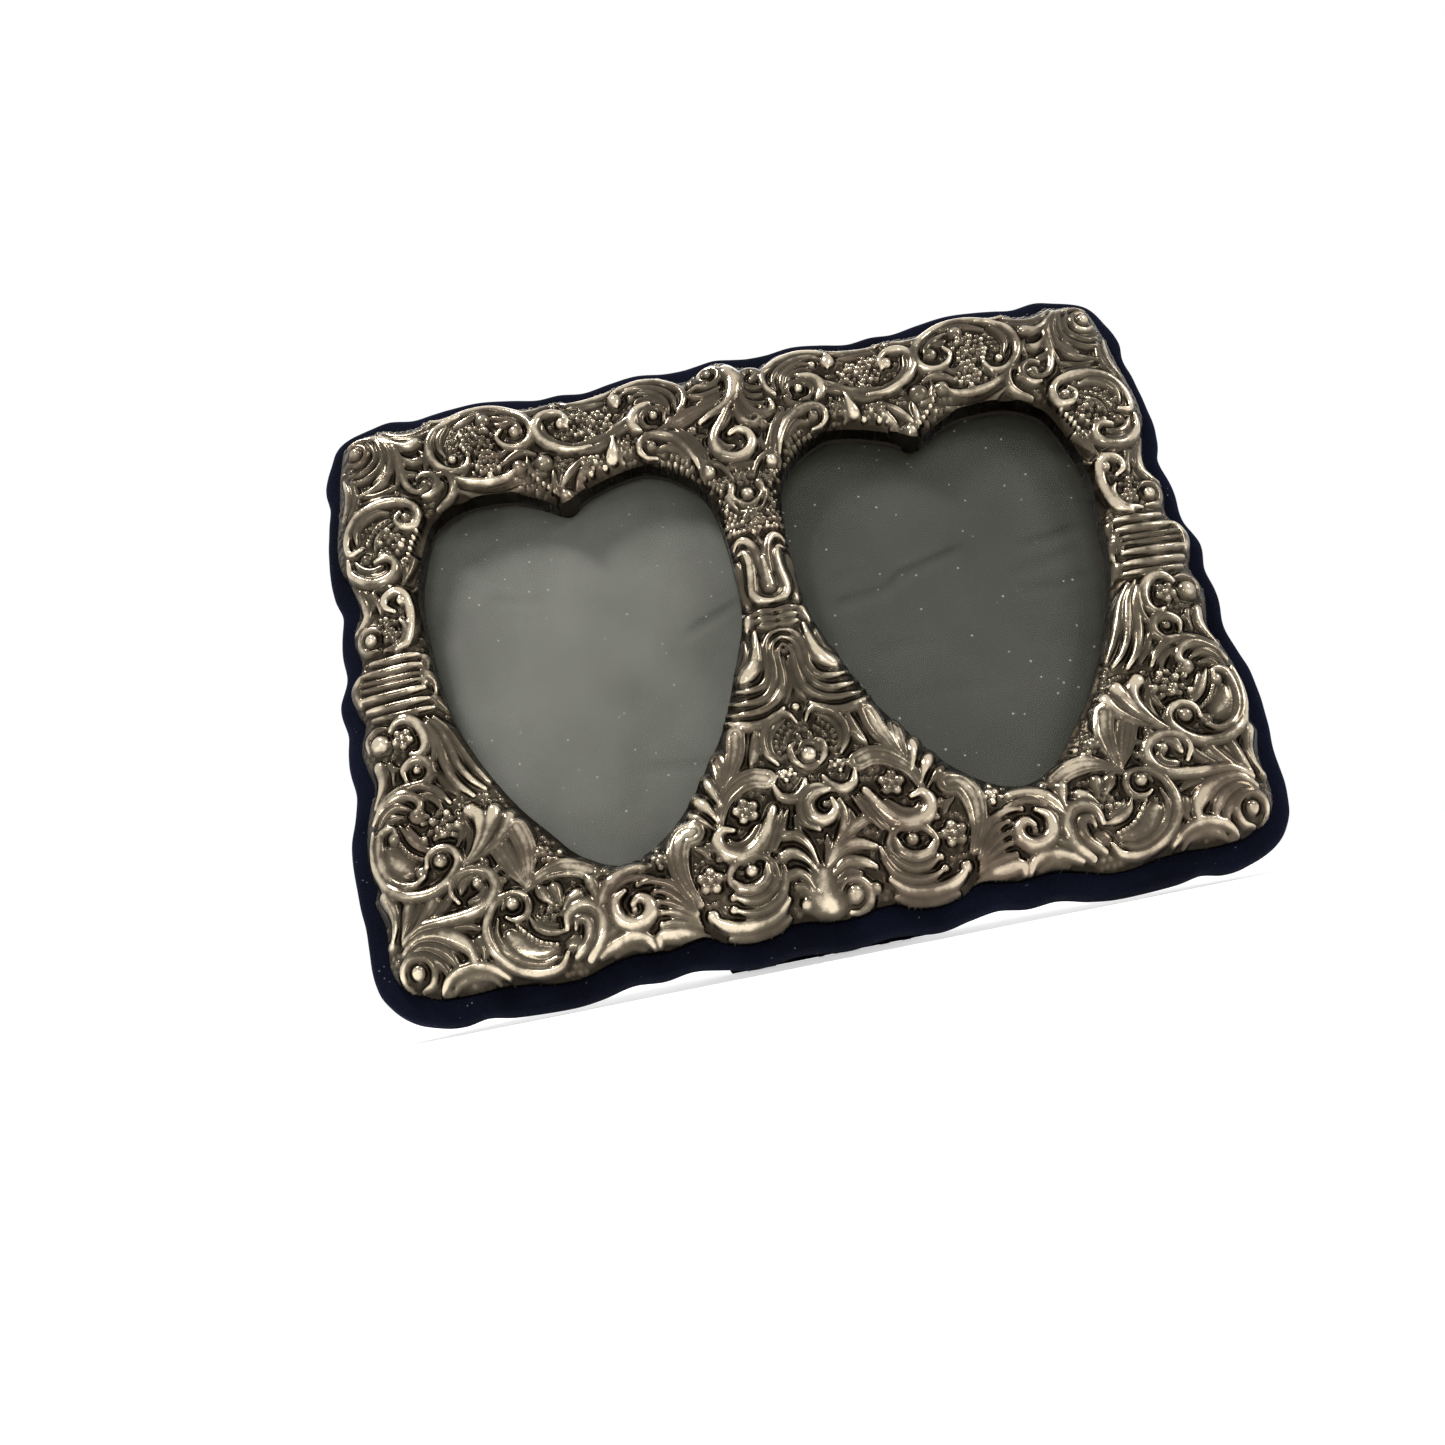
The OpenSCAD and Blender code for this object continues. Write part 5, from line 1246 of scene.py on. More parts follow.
    def drop_wall(self, mesh: bpy.types.Mesh) -> None:
        """Lowers the extruded edges to the velvet, or to the glass in the windows, and darkens their feet with patina
        and painted shade.

        Args:
            mesh: The piece's mesh, with those edges selected.
        """
        low = np.empty(len(mesh.vertices), bool)
        mesh.vertices.foreach_get("select", low)
        rim, wear_and_painted_light = values_of(mesh, "rim"), values_of(mesh, "wear_and_painted_light")
        x, v, n = LEAN.plane(points_of(mesh))
        n = np.where(low, np.where(rim > Rim.OUTER.value, self.window_foot, self.foot), n)
        mesh.vertices.foreach_set("co", LEAN.world(x, v, n).ravel())
        # The feet turn dark, patina and painted shade; the tops keep a share of their wear and painted light.
        set_values(mesh, "wear_and_painted_light", np.where(low, self.foot_patina_and_shade, np.where(rim > 0, wear_and_painted_light * self.edge_share, wear_and_painted_light)))
        mesh.update()


class Pattern(Enum):
    """Surface patterns that more than one finish uses, each a node group."""

    CLOUD = "cloud"
    SPECK = "speck"
    FIBRE = "fibre"
    RUB = "rub"


class Nodes:
    """A node tree, and the ways to add to it that the finishes and the studio share."""

    groups: dict[Pattern, bpy.types.ShaderNodeTree] = {}

    def __init__(self, tree: bpy.types.NodeTree) -> None:
        """Starts with a tree."""
        self.tree = tree

    def fill(self, node: bpy.types.Node, inputs: dict[str | int, Socket | Colour | float]) -> bpy.types.Node:
        """Sets or wires inputs of a node.

        Args:
            node: The node.
            inputs: A socket, a colour or a number for each input, by its name or place.

        Returns:
            The node.
        """
        for key, value in inputs.items():
            socket = node.inputs[key]
            if isinstance(value, Socket):
                self.tree.links.new(value, socket)
            else:
                socket.default_value = (*value, 1) if socket.type == "RGBA" else value
        return node

    def add(self, kind: str, inputs: dict[str | int, Socket | Colour | float], **settings: object) -> bpy.types.Node:
        """Adds a node.

        Args:
            kind: Its type.
            inputs: A socket, a colour or a number for each input, by its name or place.
            settings: Its other settings.

        Returns:
            The node.
        """
        node = self.tree.nodes.new(kind)
        for key, value in settings.items():
            setattr(node, key, value)
        return self.fill(node, inputs)

    @classmethod
    def group(cls, pattern: Pattern) -> bpy.types.ShaderNodeTree:
        """Builds a pattern's node group once: Scale, Low and High in, Value out.

        Args:
            pattern: The pattern.

        Returns:
            Its node group.
        """
        if pattern in cls.groups:
            return cls.groups[pattern]
        tree = cls.groups[pattern] = bpy.data.node_groups.new(f"pattern_{pattern.value}", "ShaderNodeTree")
        for name, way in (("Scale", "INPUT"), ("Low", "INPUT"), ("High", "INPUT"), ("Value", "OUTPUT")):
            tree.interface.new_socket(name=name, in_out=way, socket_type="NodeSocketFloat")
        nodes = Nodes(tree)
        given = nodes.add("NodeGroupInput", {}).outputs
        where = nodes.add("ShaderNodeTexCoord", {}).outputs["Object"]
        stretch = (1, 1, 0.08) if pattern is Pattern.FIBRE else (1, 1, 1)
        place = nodes.add("ShaderNodeMapping", {"Vector": where, "Scale": stretch}).outputs[0]
        inputs = {"Vector": place, "Scale": given["Scale"]}
        if pattern is Pattern.SPECK:
            value = nodes.add("ShaderNodeTexVoronoi", inputs).outputs["Distance"]
        else:
            inputs |= {"Detail": 2 if pattern is Pattern.RUB else 5, "Roughness": 0.6}
            value = nodes.add("ShaderNodeTexNoise", inputs).outputs["Fac"]
        fit = nodes.add("ShaderNodeMapRange", {"Value": value, "From Min": given["Low"], "From Max": given["High"]})
        nodes.add("NodeGroupOutput", {"Value": fit.outputs["Result"]})
        return tree

    def pattern(self, pattern: Pattern, scale: float, low: float, high: float) -> Socket:
        """Places a shared pattern, of which low and high become 0 and 1."""
        inputs = {"Scale": scale, "Low": low, "High": high}
        return self.add("ShaderNodeGroup", inputs, node_tree=self.group(pattern)).outputs["Value"]

    def attribute(self, name: str) -> Socket:
        """Reads a number that the mesh holds for each point."""
        return self.add("ShaderNodeAttribute", {}, attribute_name=name).outputs["Fac"]

    def ramp(self, value: Socket, *stops: tuple[float, Colour]) -> Socket:
        """Turns a value into a colour.

        Args:
            value: The value, from 0 to 1.
            stops: Each stop's place and colour.

        Returns:
            The colour.
        """
        node = self.add("ShaderNodeValToRGB", {"Fac": value})
        elements = node.color_ramp.elements
        while len(elements) < len(stops):
            elements.new(1.0)
        for element, (at, colour) in zip(elements, stops):
            element.position, element.color = at, (*colour, 1)
        return node.outputs["Color"]

    def mix(self, mask: Socket, a: Socket | Colour, b: Socket | Colour) -> Socket:
        """Mixes two colours by a mask. A mix node has its colours at inputs 6 and 7 and output 2."""
        return self.add("ShaderNodeMix", {0: mask, 6: a, 7: b}, data_type="RGBA").outputs[2]

    def maths(self, how: str, a: Socket, b: Socket | float) -> Socket:
        """Works out one value from two, kept from 0 to 1."""
        return self.add("ShaderNodeMath", {0: a, 1: b}, operation=how, use_clamp=True).outputs[0]

    def blend(self, a: Socket, b: Socket, share: float) -> Socket:
        """Adds a share of one value to the rest of another."""
        return self.maths("ADD", self.maths("MULTIPLY", a, share), self.maths("MULTIPLY", b, 1 - share))

    def span(self, value: Socket, low: float, high: float) -> Socket:
        """Spreads a value of 0 to 1 over low to high."""
        return self.add("ShaderNodeMapRange", {"Value": value, "To Min": low, "To Max": high}).outputs["Result"]


class Finish(Nodes):
    """A node material with its own shader, to which colours and masks are wired."""

    def __init__(self, name: str, rough: float, metal: float = 0.0, **inputs: float | Colour) -> None:
        """Starts a material.

        Args:
            name: The material's name.
            rough: Roughness.
            metal: Metallic.
            inputs: Other inputs of the shader, with _ for a space.
        """
        self.material = bpy.data.materials.new(name)
        self.material.use_nodes = True
        super().__init__(self.material.node_tree)
        self.shader = self.tree.nodes["Principled BSDF"]
        self.feed(Roughness=rough, Metallic=metal, **inputs)

    def feed(self, **inputs: Socket | Colour | float) -> None:
        """Sets or wires the shader's inputs, by their names with _ for a space."""
        self.fill(self.shader, {key.replace("_", " "): value for key, value in inputs.items()})

    def bump(self, height: Socket, depth: float, strength: float) -> None:
        """Raises the surface's fine grain by a depth in metres."""
        node = self.add("ShaderNodeBump", {"Height": height, "Distance": depth, "Strength": strength})
        self.feed(Normal=node.outputs["Normal"])

    def dress(self, *pieces: bpy.types.Object) -> None:
        """Puts the finish on pieces.

        Args:
            pieces: The pieces.
        """
        for piece in pieces:
            piece.data.materials.clear()
            piece.data.materials.append(self.material)


@dataclass(frozen=True)
class AgedSilver:
    """Silver plate gone warm and dark in its hollows, rubbed bright on its high places, with painted shade in its
    hollows and painted highlights on its crests.
    """

    deep: Colour = (0.019, 0.015, 0.0102)
    low: Colour = (0.056, 0.0455, 0.0318)
    body: Colour = (0.078, 0.064, 0.0455)
    high: Colour = (0.136, 0.1125, 0.081)
    # The crests' colour: rubbed metal and a painted highlight.
    rubbed_highlight: Colour = (0.66, 0.565, 0.42)
    copper: Colour = (0.22, 0.145, 0.108)

    def make(self) -> Finish:
        """Builds the finish, which reads the mesh's wear and painted light.

        Returns:
            The finish.
        """
        f = Finish("aged_silver", 0.3, 1.0)
        # The mesh's wear and painted light, with some noise.
        crest_level = f.maths("ADD", f.attribute("wear_and_painted_light"), f.span(f.pattern(Pattern.CLOUD, 300, 0.32, 0.68), -0.1, 0.1))
        crest_level = f.maths("ADD", crest_level, f.span(f.pattern(Pattern.CLOUD, 95, 0.36, 0.66), -0.13, 0.13))
        colours = (self.deep, self.low, self.body, self.high, self.rubbed_highlight)
        # Dark in hollows, light on crests: patina and wear, and painted shade and painted highlights too.
        metal = f.ramp(crest_level, *zip((0.08, 0.3, 0.5, 0.74, 0.97), colours))
        warm = f.maths("MULTIPLY", f.pattern(Pattern.RUB, 34, 0.5, 0.72), 0.42)
        pits = f.maths("MULTIPLY", f.pattern(Pattern.CLOUD, 1500, 0.6, 0.72), 0.5)
        colour = f.mix(pits, f.mix(warm, metal, f.mix(crest_level, self.deep, self.copper)), self.low)
        f.feed(Base_Color=colour, Roughness=f.span(crest_level, 0.3, 0.07))
        f.bump(f.pattern(Pattern.CLOUD, 900, 0.2, 0.8), 0.00006, 0.55)
        return f


@dataclass(frozen=True)
class NavyVelvet:
    """Very dark blue cotton velvet: short pile, lighter seen along, with lint on it."""

    name: str = "navy_velvet"
    dark: Colour = (0.0012, 0.0015, 0.0044)
    light: Colour = (0.0058, 0.0074, 0.019)
    lint: Colour = (0.22, 0.22, 0.24)
    sheen: Colour = (0.05, 0.07, 0.2)

    def make(self) -> Finish:
        """Builds the finish.

        Returns:
            The finish.
        """
        f = Finish(self.name, 0.9, Specular_IOR_Level=0.06)
        f.feed(Sheen_Weight=0.22, Sheen_Roughness=0.3, Sheen_Tint=self.sheen)
        pile = f.pattern(Pattern.CLOUD, 2600, 0.3, 0.7)
        crushed = f.pattern(Pattern.CLOUD, 46, 0.4, 0.64)
        colour = f.mix(f.blend(pile, crushed, 0.35), self.dark, self.light)
        specks = f.maths("SUBTRACT", f.pattern(Pattern.SPECK, 520, 0.13, 0.06), f.pattern(Pattern.RUB, 160, 0.36, 0.5))
        f.feed(Base_Color=f.mix(specks, colour, self.lint))
        f.bump(pile, 0.00025, 0.8)
        return f


@dataclass(frozen=True)
class Board:
    """Pressed brown board or grey card with fibres and stains."""

    name: str
    dark: Colour
    light: Colour

    def make(self) -> Finish:
        """Builds the finish.

        Returns:
            The finish.
        """
        f = Finish(self.name, 0.85, Specular_IOR_Level=0.25)
        grain = f.pattern(Pattern.FIBRE, 1400, 0.3, 0.7)
        stain = f.pattern(Pattern.CLOUD, 45, 0.35, 0.7)
        f.feed(Base_Color=f.mix(f.blend(grain, stain, 0.5), self.dark, self.light))
        f.bump(grain, 0.00008, 0.6)
        return f


@dataclass(frozen=True)
class PlainMetal:
    """Hinge steel or brass: fine scratches, dull where it is handled, dark spots."""

    name: str
    bright: Colour
    dull: Colour

    def make(self) -> Finish:
        """Builds the finish.

        Returns:
            The finish.
        """
        f = Finish(self.name, 0.35, 1.0)
        scratch = f.pattern(Pattern.FIBRE, 2200, 0.35, 0.65)
        tarnish = f.pattern(Pattern.CLOUD, 160, 0.45, 0.7)
        rough = f.span(f.maths("ADD", scratch, tarnish), 0.26, 0.5)
        f.feed(Base_Color=f.mix(tarnish, self.bright, self.dull), Roughness=rough)
        f.bump(scratch, 0.00002, 0.5)
        return f


@dataclass(frozen=True)
class InsertSheet:
    """Thin grey-green sheet behind the glass, creased, dusty and scuffed, with painted shade in its creases, painted
    light beside them and soft patches that are partly painted reflection.
    """

    name: str
    dark: Colour
    light: Colour
    dust: Colour = (0.3, 0.3, 0.28)

    def make(self) -> Finish:
        """Builds the finish, which reads the painted shade and light of the mesh's creases.

        Returns:
            The finish.
        """
        f = Finish(self.name, 0.5, Specular_IOR_Level=0.3)
        # Soft patches: partly the sheet's own mottling, partly a painted reflection of the glass.
        cloud = f.blend(f.pattern(Pattern.RUB, 17, 0.34, 0.66), f.pattern(Pattern.CLOUD, 60, 0.35, 0.65), 0.7)
        # fold is painted shade in the creases, lit a painted highlight on their lit flanks.
        fold, lit = tuple(0.3 * c for c in self.dark), tuple(1.5 * c for c in self.light)
        shade = f.blend(cloud, f.attribute("crease"), 0.4)
        colour = f.ramp(shade, (0.18, fold), (0.35, self.dark), (0.65, self.light), (0.85, lit))
        specks = f.maths("SUBTRACT", f.pattern(Pattern.SPECK, 300, 0.11, 0.06), f.pattern(Pattern.RUB, 260, 0.52, 0.6))
        f.feed(Base_Color=f.mix(specks, colour, self.dust))
        return f


@dataclass(frozen=True)
class PaneGlass:
    """Clear window glass with a little dust in its haze."""

    clear: Colour = (0.97, 0.97, 0.955)
    hazy: Colour = (0.9, 0.91, 0.88)
    # Low, so that the white surroundings don't veil the dark sheets behind the panes.
    ior: float = 1.14

    def make(self) -> Finish:
        """Builds the finish.

        Returns:
            The finish.
        """
        f = Finish("pane_glass", 0.0, Transmission_Weight=1.0, IOR=self.ior)
        f.feed(Base_Color=f.mix(f.pattern(Pattern.CLOUD, 55, 0.45, 0.75), self.clear, self.hazy))
        return f


@dataclass
class VelvetBody:
    """The velvet-covered body behind the casting, softly rolled at its wavy edge."""

    count: int = 880
    recess_half: tuple[float, float] = (88.5, 56.05)
    recess_centre: tuple[float, float] = (0.0, 7.15)
    recess_r: float = 4.0
    # How far in from the edge, and how high, each ring over the front, the edge and the back is.
    roll: tuple[tuple[float, float], ...] = (
        (8.0, 9.7), (5.0, 9.85), (3.2, 10.05), (2.0, 10.0), (1.1, 9.6), (0.45, 8.8), (0.1, 7.6), (0.0, 6.2),
        (0.0, 4.6), (0.05, 3.0), (0.35, 1.6), (0.95, 0.65), (1.9, 0.15), (3.4, 0.0),
    )
    # The rings that turn into the recess: their size as a share of its own, and their height.
    lip: tuple[tuple[float, float], ...] = ((1.006, 0.02), (1.0005, 0.35), (1.0, 1.2), (1.0, 7.0), (0.97, 8.4))
    dent: float = 0.09

    def build(self) -> bpy.types.Object:
        """Builds the body as one closed ring round the recess for the back panel.

        Returns:
            The velvet piece.
        """
        edge = even(smooth_curve(mirrored_loop(VELVET_EDGE), 0.3, True), self.count)
        out = normals_of(edge)
        for _ in range(10):
            out = (np.roll(out, 1, axis=0) + out + np.roll(out, -1, axis=0)) / 3
        out /= np.hypot(*out.T)[:, None]
        rings = [LEAN.ring(edge - out * inset, n) for inset, n in self.roll]
        recess = self.recess_at(edge)
        back = edge - out * self.roll[-1][0]
        rings.append(LEAN.ring(0.5 * back + 0.5 * recess * 1.004, 0.0))
        centre = np.array(self.recess_centre)
        rings += [LEAN.ring(centre + (recess - centre) * grow, n) for grow, n in self.lip]
        body = skin_rings("velvet_body", rings, rings_close=True)
        self.soften(body.data)
        return body

    def recess_at(self, edge: np.ndarray) -> np.ndarray:
        """Finds the recess's edge in the direction of each point of the body's edge.

        Args:
            edge: The body's edge, one row a point.

        Returns:
            The recess's edge, one row a point.
        """
        centre = np.array(self.recess_centre)
        rect = rounded_rectangle(*self.recess_half, self.recess_r, 0.4)
        angle = np.arctan2(rect[:, 1], rect[:, 0])
        order = np.argsort(angle)
        want = np.arctan2(*(edge - centre).T[::-1])
        return centre + np.stack([np.interp(want, angle[order], row[order], period=math.tau) for row in rect.T], 1)

    def soften(self, mesh: bpy.types.Mesh) -> None:
        """Presses small, smooth dents into the pile, as handling leaves them.

        Args:
            mesh: The body's mesh.
        """
        x, v, n = LEAN.plane(points_of(mesh))
        wave = np.sin(x * 0.31 + v * 0.12) * np.sin(v * 0.27 - x * 0.05) + 0.5 * np.sin(x * 0.9 + 1.3) * np.sin(v * 0.8)
        push = self.dent * wave * np.clip((n - 0.2) / 1.5, 0, 1) * np.clip((10.1 - n) / 0.6, 0, 1)
        mesh.vertices.foreach_set("co", LEAN.world(x * (1 - push / 100), v, n - 0.3 * push).ravel())


@dataclass
class BackPanel:
    """The lift-out panel's velvet and its ribbon tab."""

    half: tuple[float, float] = (88.1, 55.65)
    centre: tuple[float, float] = (0.0, 7.15)
    corner: float = 3.6
    thick: float = 3.0
    turn_in: float = 8.0
    # The rings over the back, as shares of the outline, and round the board: how far in and how high.
    back: tuple[float, ...] = (0.12, 0.3, 0.5, 0.7, 0.86, 0.95)
    round_edge: tuple[tuple[float, float], ...] = (
        (1.6, 0.03), (0.8, 0.16), (0.25, 0.5), (0.0, 1.1), (0.0, 2.3), (0.2, 2.85), (0.7, 3.0),
    )
    tab_x: tuple[float, float] = (16.0, 28.0)
    tab_v: tuple[float, float] = (48.9, 60.6)
    fold_r: float = 0.3
    ribbon_thick: float = 0.12

    @property
    def flat(self) -> tuple[float, float]:
        """The velvet's cut size in metres, with what turns over the board's edges."""
        more = self.thick + self.turn_in
        return (2 * (self.half[0] + more) * MM, 2 * (self.half[1] + more) * MM)

    def velvet(self) -> bpy.types.Object:
        """Builds the velvet, stretched over the board and turned in.

        Returns:
            The sheet.
        """
        outline = rounded_rectangle(*self.half, self.corner, 0.9)
        out = normals_of(outline)
        rings = [LEAN.ring(outline * share + self.centre, 0.04 * (1 - share)) for share in self.back]
        for inset, n in (*self.round_edge, (self.turn_in, self.thick)):
            rings.append(LEAN.ring(outline - out * inset + self.centre, n))
        sheet = skin_rings("back_panel_cloth", rings)
        self.close_middle(sheet.data)
        return sheet

    @staticmethod
    def close_middle(mesh: bpy.types.Mesh) -> None:
        """Fills the small hole in the middle of the panel's back.

        Args:
            mesh: The sheet's mesh.
        """
        bpy.ops.object.mode_set(mode="EDIT")
        bpy.ops.mesh.select_mode(type="EDGE")
        bpy.ops.mesh.select_all(action="DESELECT")
        edit = bmesh.from_edit_mesh(mesh)
        _, _, n = LEAN.plane(np.array([p.co for p in edit.verts]))
        for edge in edit.edges:
            if edge.is_boundary and n[edge.verts[0].index] < 1:
                edge.select_set(True)
        bmesh.update_edit_mesh(mesh)
        bpy.ops.mesh.edge_face_add()
        face_outward()
        widest = max(bmesh.from_edit_mesh(mesh).faces, key=lambda face: face.calc_area())
        front = Vector((0, -math.cos(LEAN.angle), math.sin(LEAN.angle)))
        if widest.normal.dot(front) > 0:
            bpy.ops.mesh.flip_normals()
        bpy.ops.object.mode_set(mode="OBJECT")

    def ribbon(self) -> bpy.types.Object:
        """Builds the folded ribbon tab that pulls the panel out.

        Returns:
            The ribbon.
        """
        low, top = self.tab_v
        half, r = 0.5 * (top + low), self.fold_r
        # Down the panel's back, round the fold at the low end and up again: v and n in mm.
        bend = [(low + r - r * math.sin(a), -0.38 + r * math.cos(a)) for a in np.linspace(0, math.pi, 9)]
        path = [(top, -0.06), (half, -0.08), *bend, (half, -0.62), (top - 0.6, -0.5), (top, -0.2)]
        across = np.linspace(self.tab_x[0] + 0.05, self.tab_x[1] - 0.05, 17)
        rows = [LEAN.world(across, v, n) for v, n in smooth_curve(np.array(path), 0.4)]
        tab = skin("ribbon_tab", rows, False, False)
        apply_modifier(tab, "SOLIDIFY", thickness=self.ribbon_thick * MM, offset=0.0)
        return tab


@dataclass
class Strut:
    """The velvet sleeve of the easel strut, which tapers up to the hinge."""

    pin_v: float = 29.996
    pin_n: float = -2.1
    open_angle: float = math.radians(28.6)
    top: float = -2.25
    foot: float = -103.0
    half_top: float = 18.0
    half_foot: float = 27.0
    thick: float = 4.6
    edge_r: float = 1.0
    foot_r: float = 3.0
    # How much narrower the sleeve's first ring is, the cloth's thickness and what turns in at its ends,
    # and the sleeve's mean width as a share of its width at the foot.
    mouth: float = 0.35
    cloth: float = 0.5
    turn_in: float = 2.0
    mean: float = 0.86

    @property
    def flat(self) -> tuple[float, float]:
        """The sleeve's cut size in metres: once round its mean width and its edges, and its length."""
        around = 2 * (2 * self.half_foot * self.mean + self.thick)
        return (around * MM, (self.top - self.foot + self.turn_in) * MM)

    def velvet(self) -> bpy.types.Object:
        """Builds the sleeve round the strut's board, cut level at the foot.

        Returns:
            The sleeve.
        """
        along = np.r_[self.top, np.linspace(self.top - 0.4, self.foot + self.foot_r, 60)]
        corner = [self.foot + self.foot_r * (1 - math.sin(a)) for a in np.radians(np.arange(15, 91, 15))]
        sleeve = skin_rings("strut_cloth", [self.section(y) for y in (*along, *corner)])
        bpy.ops.object.mode_set(mode="EDIT")
        bpy.ops.mesh.select_mode(type="EDGE")
        bpy.ops.mesh.select_all(action="DESELECT")
        bpy.ops.mesh.select_non_manifold()
        bpy.ops.mesh.fill_holes(sides=0)
        bpy.ops.mesh.select_all(action="SELECT")
        # The foot is cut level, just over the floor.
        bpy.ops.mesh.bisect(plane_co=(0, 0, 0.00002), plane_no=(0, 0, 1), clear_inner=True, use_fill=True)
        face_outward()
        bpy.ops.object.mode_set(mode="OBJECT")
        apply_modifier(sleeve, "SOLIDIFY", thickness=self.cloth * MM, offset=-1.0)
        bpy.ops.object.shade_smooth_by_angle(angle=math.radians(40))
        return sleeve

    def section(self, y: float) -> np.ndarray:
        """Shapes one cross-section of the sleeve, which narrows round the foot's corners.

        Args:
            y: Its place along the strut, in mm.

        Returns:
            Its points in the shared frame, one row each.
        """
        half = self.half_top + (self.half_foot - self.half_top) * (self.top - y) / (self.top - self.foot)
        down = max(0.0, self.foot + self.foot_r - y)
        if down:
            half -= self.foot_r - math.sqrt(max(self.foot_r**2 - down**2, 0.0))
        less = self.mouth if y == self.top else 0.0
        outline = rounded_rectangle(half - less, self.thick / 2 - less * 0.5, self.edge_r - less * 0.5, 1.2)
        x, z = even(outline, 96).T
        return self.place(x, y, z - self.thick / 2)

    def place(self, x: np.ndarray, y: float, z: np.ndarray) -> np.ndarray:
        """Turns points of the closed strut about the pin to its open place."""
        s, c = math.sin(self.open_angle), math.cos(self.open_angle)
        return LEAN.world(x, self.pin_v + y * c - z * s, self.pin_n + y * s + z * c)


# The creases of each insert: the points that one passes, x and v in mm, and how deep it is.
CREASES = {
    Side.LEFT: (
        (((-24, 13), (-15, 17), (-4, 21.5)), 0.55), (((-40, -18.5), (-20, -20.5), (-4, -18.6)), 0.3),
        (((-70, 34), (-52, 30)), 0.2),
    ),
    Side.RIGHT: (
        (((12, 13.5), (22, 15.3), (29, 16), (33, 19), (46, 22.4), (52, 23.6)), 1.0),
        (((62, 21), (72, 21.6), (82, 23.4)), 0.7), (((60, 9), (70, 8), (82, 10.5)), 0.6),
        (((56, 14), (68, 15), (80, 17.8)), 0.4), (((14, 21), (20, 21.6), (26, 23)), 0.45),
        (((20, -0.6), (30, 0.4), (40, -1.4)), 0.3), (((24, -13.5), (36, -13), (48, -14.6)), 0.25),
    ),
}


@dataclass
class Insert:
    """The creased sheet behind one pane of glass."""

    side: Side
    step: float = 0.9
    margin: float = 0.2
    span_v: tuple[float, float] = (-48.2, 62.5)
    # Its height over the frame's plane: flat, at its lowest and at its highest, where it meets the glass.
    level: float = 4.8
    heights: tuple[float, float] = (4.66, 4.985)
    thick: float = 0.14

    def build(self) -> bpy.types.Object:
        """Builds the sheet, a little buckled under the glass.

        Returns:
            The sheet.
        """
        low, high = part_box(f"insert_{self.side.name.lower()}")
        x0, x1 = low.x / MM + self.margin, high.x / MM - self.margin
        v0, v1 = self.span_v
        columns, rows = int((x1 - x0) / self.step), int((v1 - v0) / self.step)
        sheet, share = add_grid(f"creased_sheet_{self.side.name.lower()}", columns, rows)
        x, v = x0 + share[:, 0] * (x1 - x0), v0 + share[:, 1] * (v1 - v0)
        height, crease = self.height(x, v)
        sheet.data.vertices.foreach_set("co", LEAN.world(x, v, height).ravel())
        set_values(sheet.data, "crease", crease)
        apply_modifier(sheet, "SOLIDIFY", thickness=self.thick * MM, offset=-1.0)
        return sheet

    def height(self, x: np.ndarray, v: np.ndarray) -> tuple[np.ndarray, np.ndarray]:
        """Works out how the sheet is buckled.

        Args:
            x, v: The places of its points.

        Returns:
            Their heights under the glass, and their shades from 0 in a crease to 1 on a lit fold.
        """
        wave = 0.05 * np.sin(x * 0.09 + v * 0.05) * np.sin(v * 0.11)
        fold, crease, lit = np.zeros((3, len(x)))
        for points, deep in CREASES[self.side]:
            px, pv = np.array(points).T
            gap = v - np.interp(x, px, pv)
            ends = deep * np.clip((x - px[0]) / 5, 0, 1) * np.clip((px[-1] - x) / 5, 0, 1)
            fold += ends * (bell(gap + 1.2, 1.3) - 0.5 * bell(gap - 1.3, 2.0))
            # Painted shade along the crease, and painted light on the flank below it.
            crease += ends * bell(gap, np.where(gap > 0, 0.9, 1.6))
            lit += ends * bell(gap + 3.2, 1.2)
        return np.clip(self.level + wave + 0.17 * fold, *self.heights), np.clip(0.5 - 0.5 * crease + 0.3 * lit, 0, 1)


@dataclass(frozen=True)
class Camera:
    """The photograph's view: close to the frame and a little below its middle."""

    eye: tuple[float, float, float] = (-0.02639, -0.30444, 0.00681)
    turn: tuple[float, float, float] = (100.2808, 11.1248, 0.1897)
    lens: float = 31.142
    sensor: float = 36.0
    nearest: float = 0.005

    def build(self) -> None:
        """Adds the camera and makes it the scene's."""
        data = bpy.data.cameras.new("photo_camera")
        data.lens, data.sensor_width, data.clip_start = self.lens, self.sensor, self.nearest
        camera = bpy.data.objects.new("photo_camera", data)
        camera.location = self.eye
        camera.rotation_euler = [math.radians(a) for a in self.turn]
        bpy.context.scene.collection.objects.link(camera)
        bpy.context.scene.camera = camera


@dataclass(frozen=True)
class Softbox:
    """One soft lamp: its place, size in metres and power in watts."""

    name: str
    place: tuple[float, float, float]
    size: tuple[float, float]
    power: float
    aim: tuple[float, float, float] = (0.0, 0.0, 0.08)

    def build(self) -> None:
        """Adds the lamp, aimed at the frame."""
        data = bpy.data.lights.new(self.name, "AREA")
        data.shape, data.size, data.size_y = "RECTANGLE", *self.size
        data.energy = self.power
        lamp = bpy.data.objects.new(self.name, data)
        lamp.location = self.place
        lamp.rotation_euler = (Vector(self.aim) - Vector(self.place)).to_track_quat("-Z", "Y").to_euler()
        bpy.context.scene.collection.objects.link(lamp)


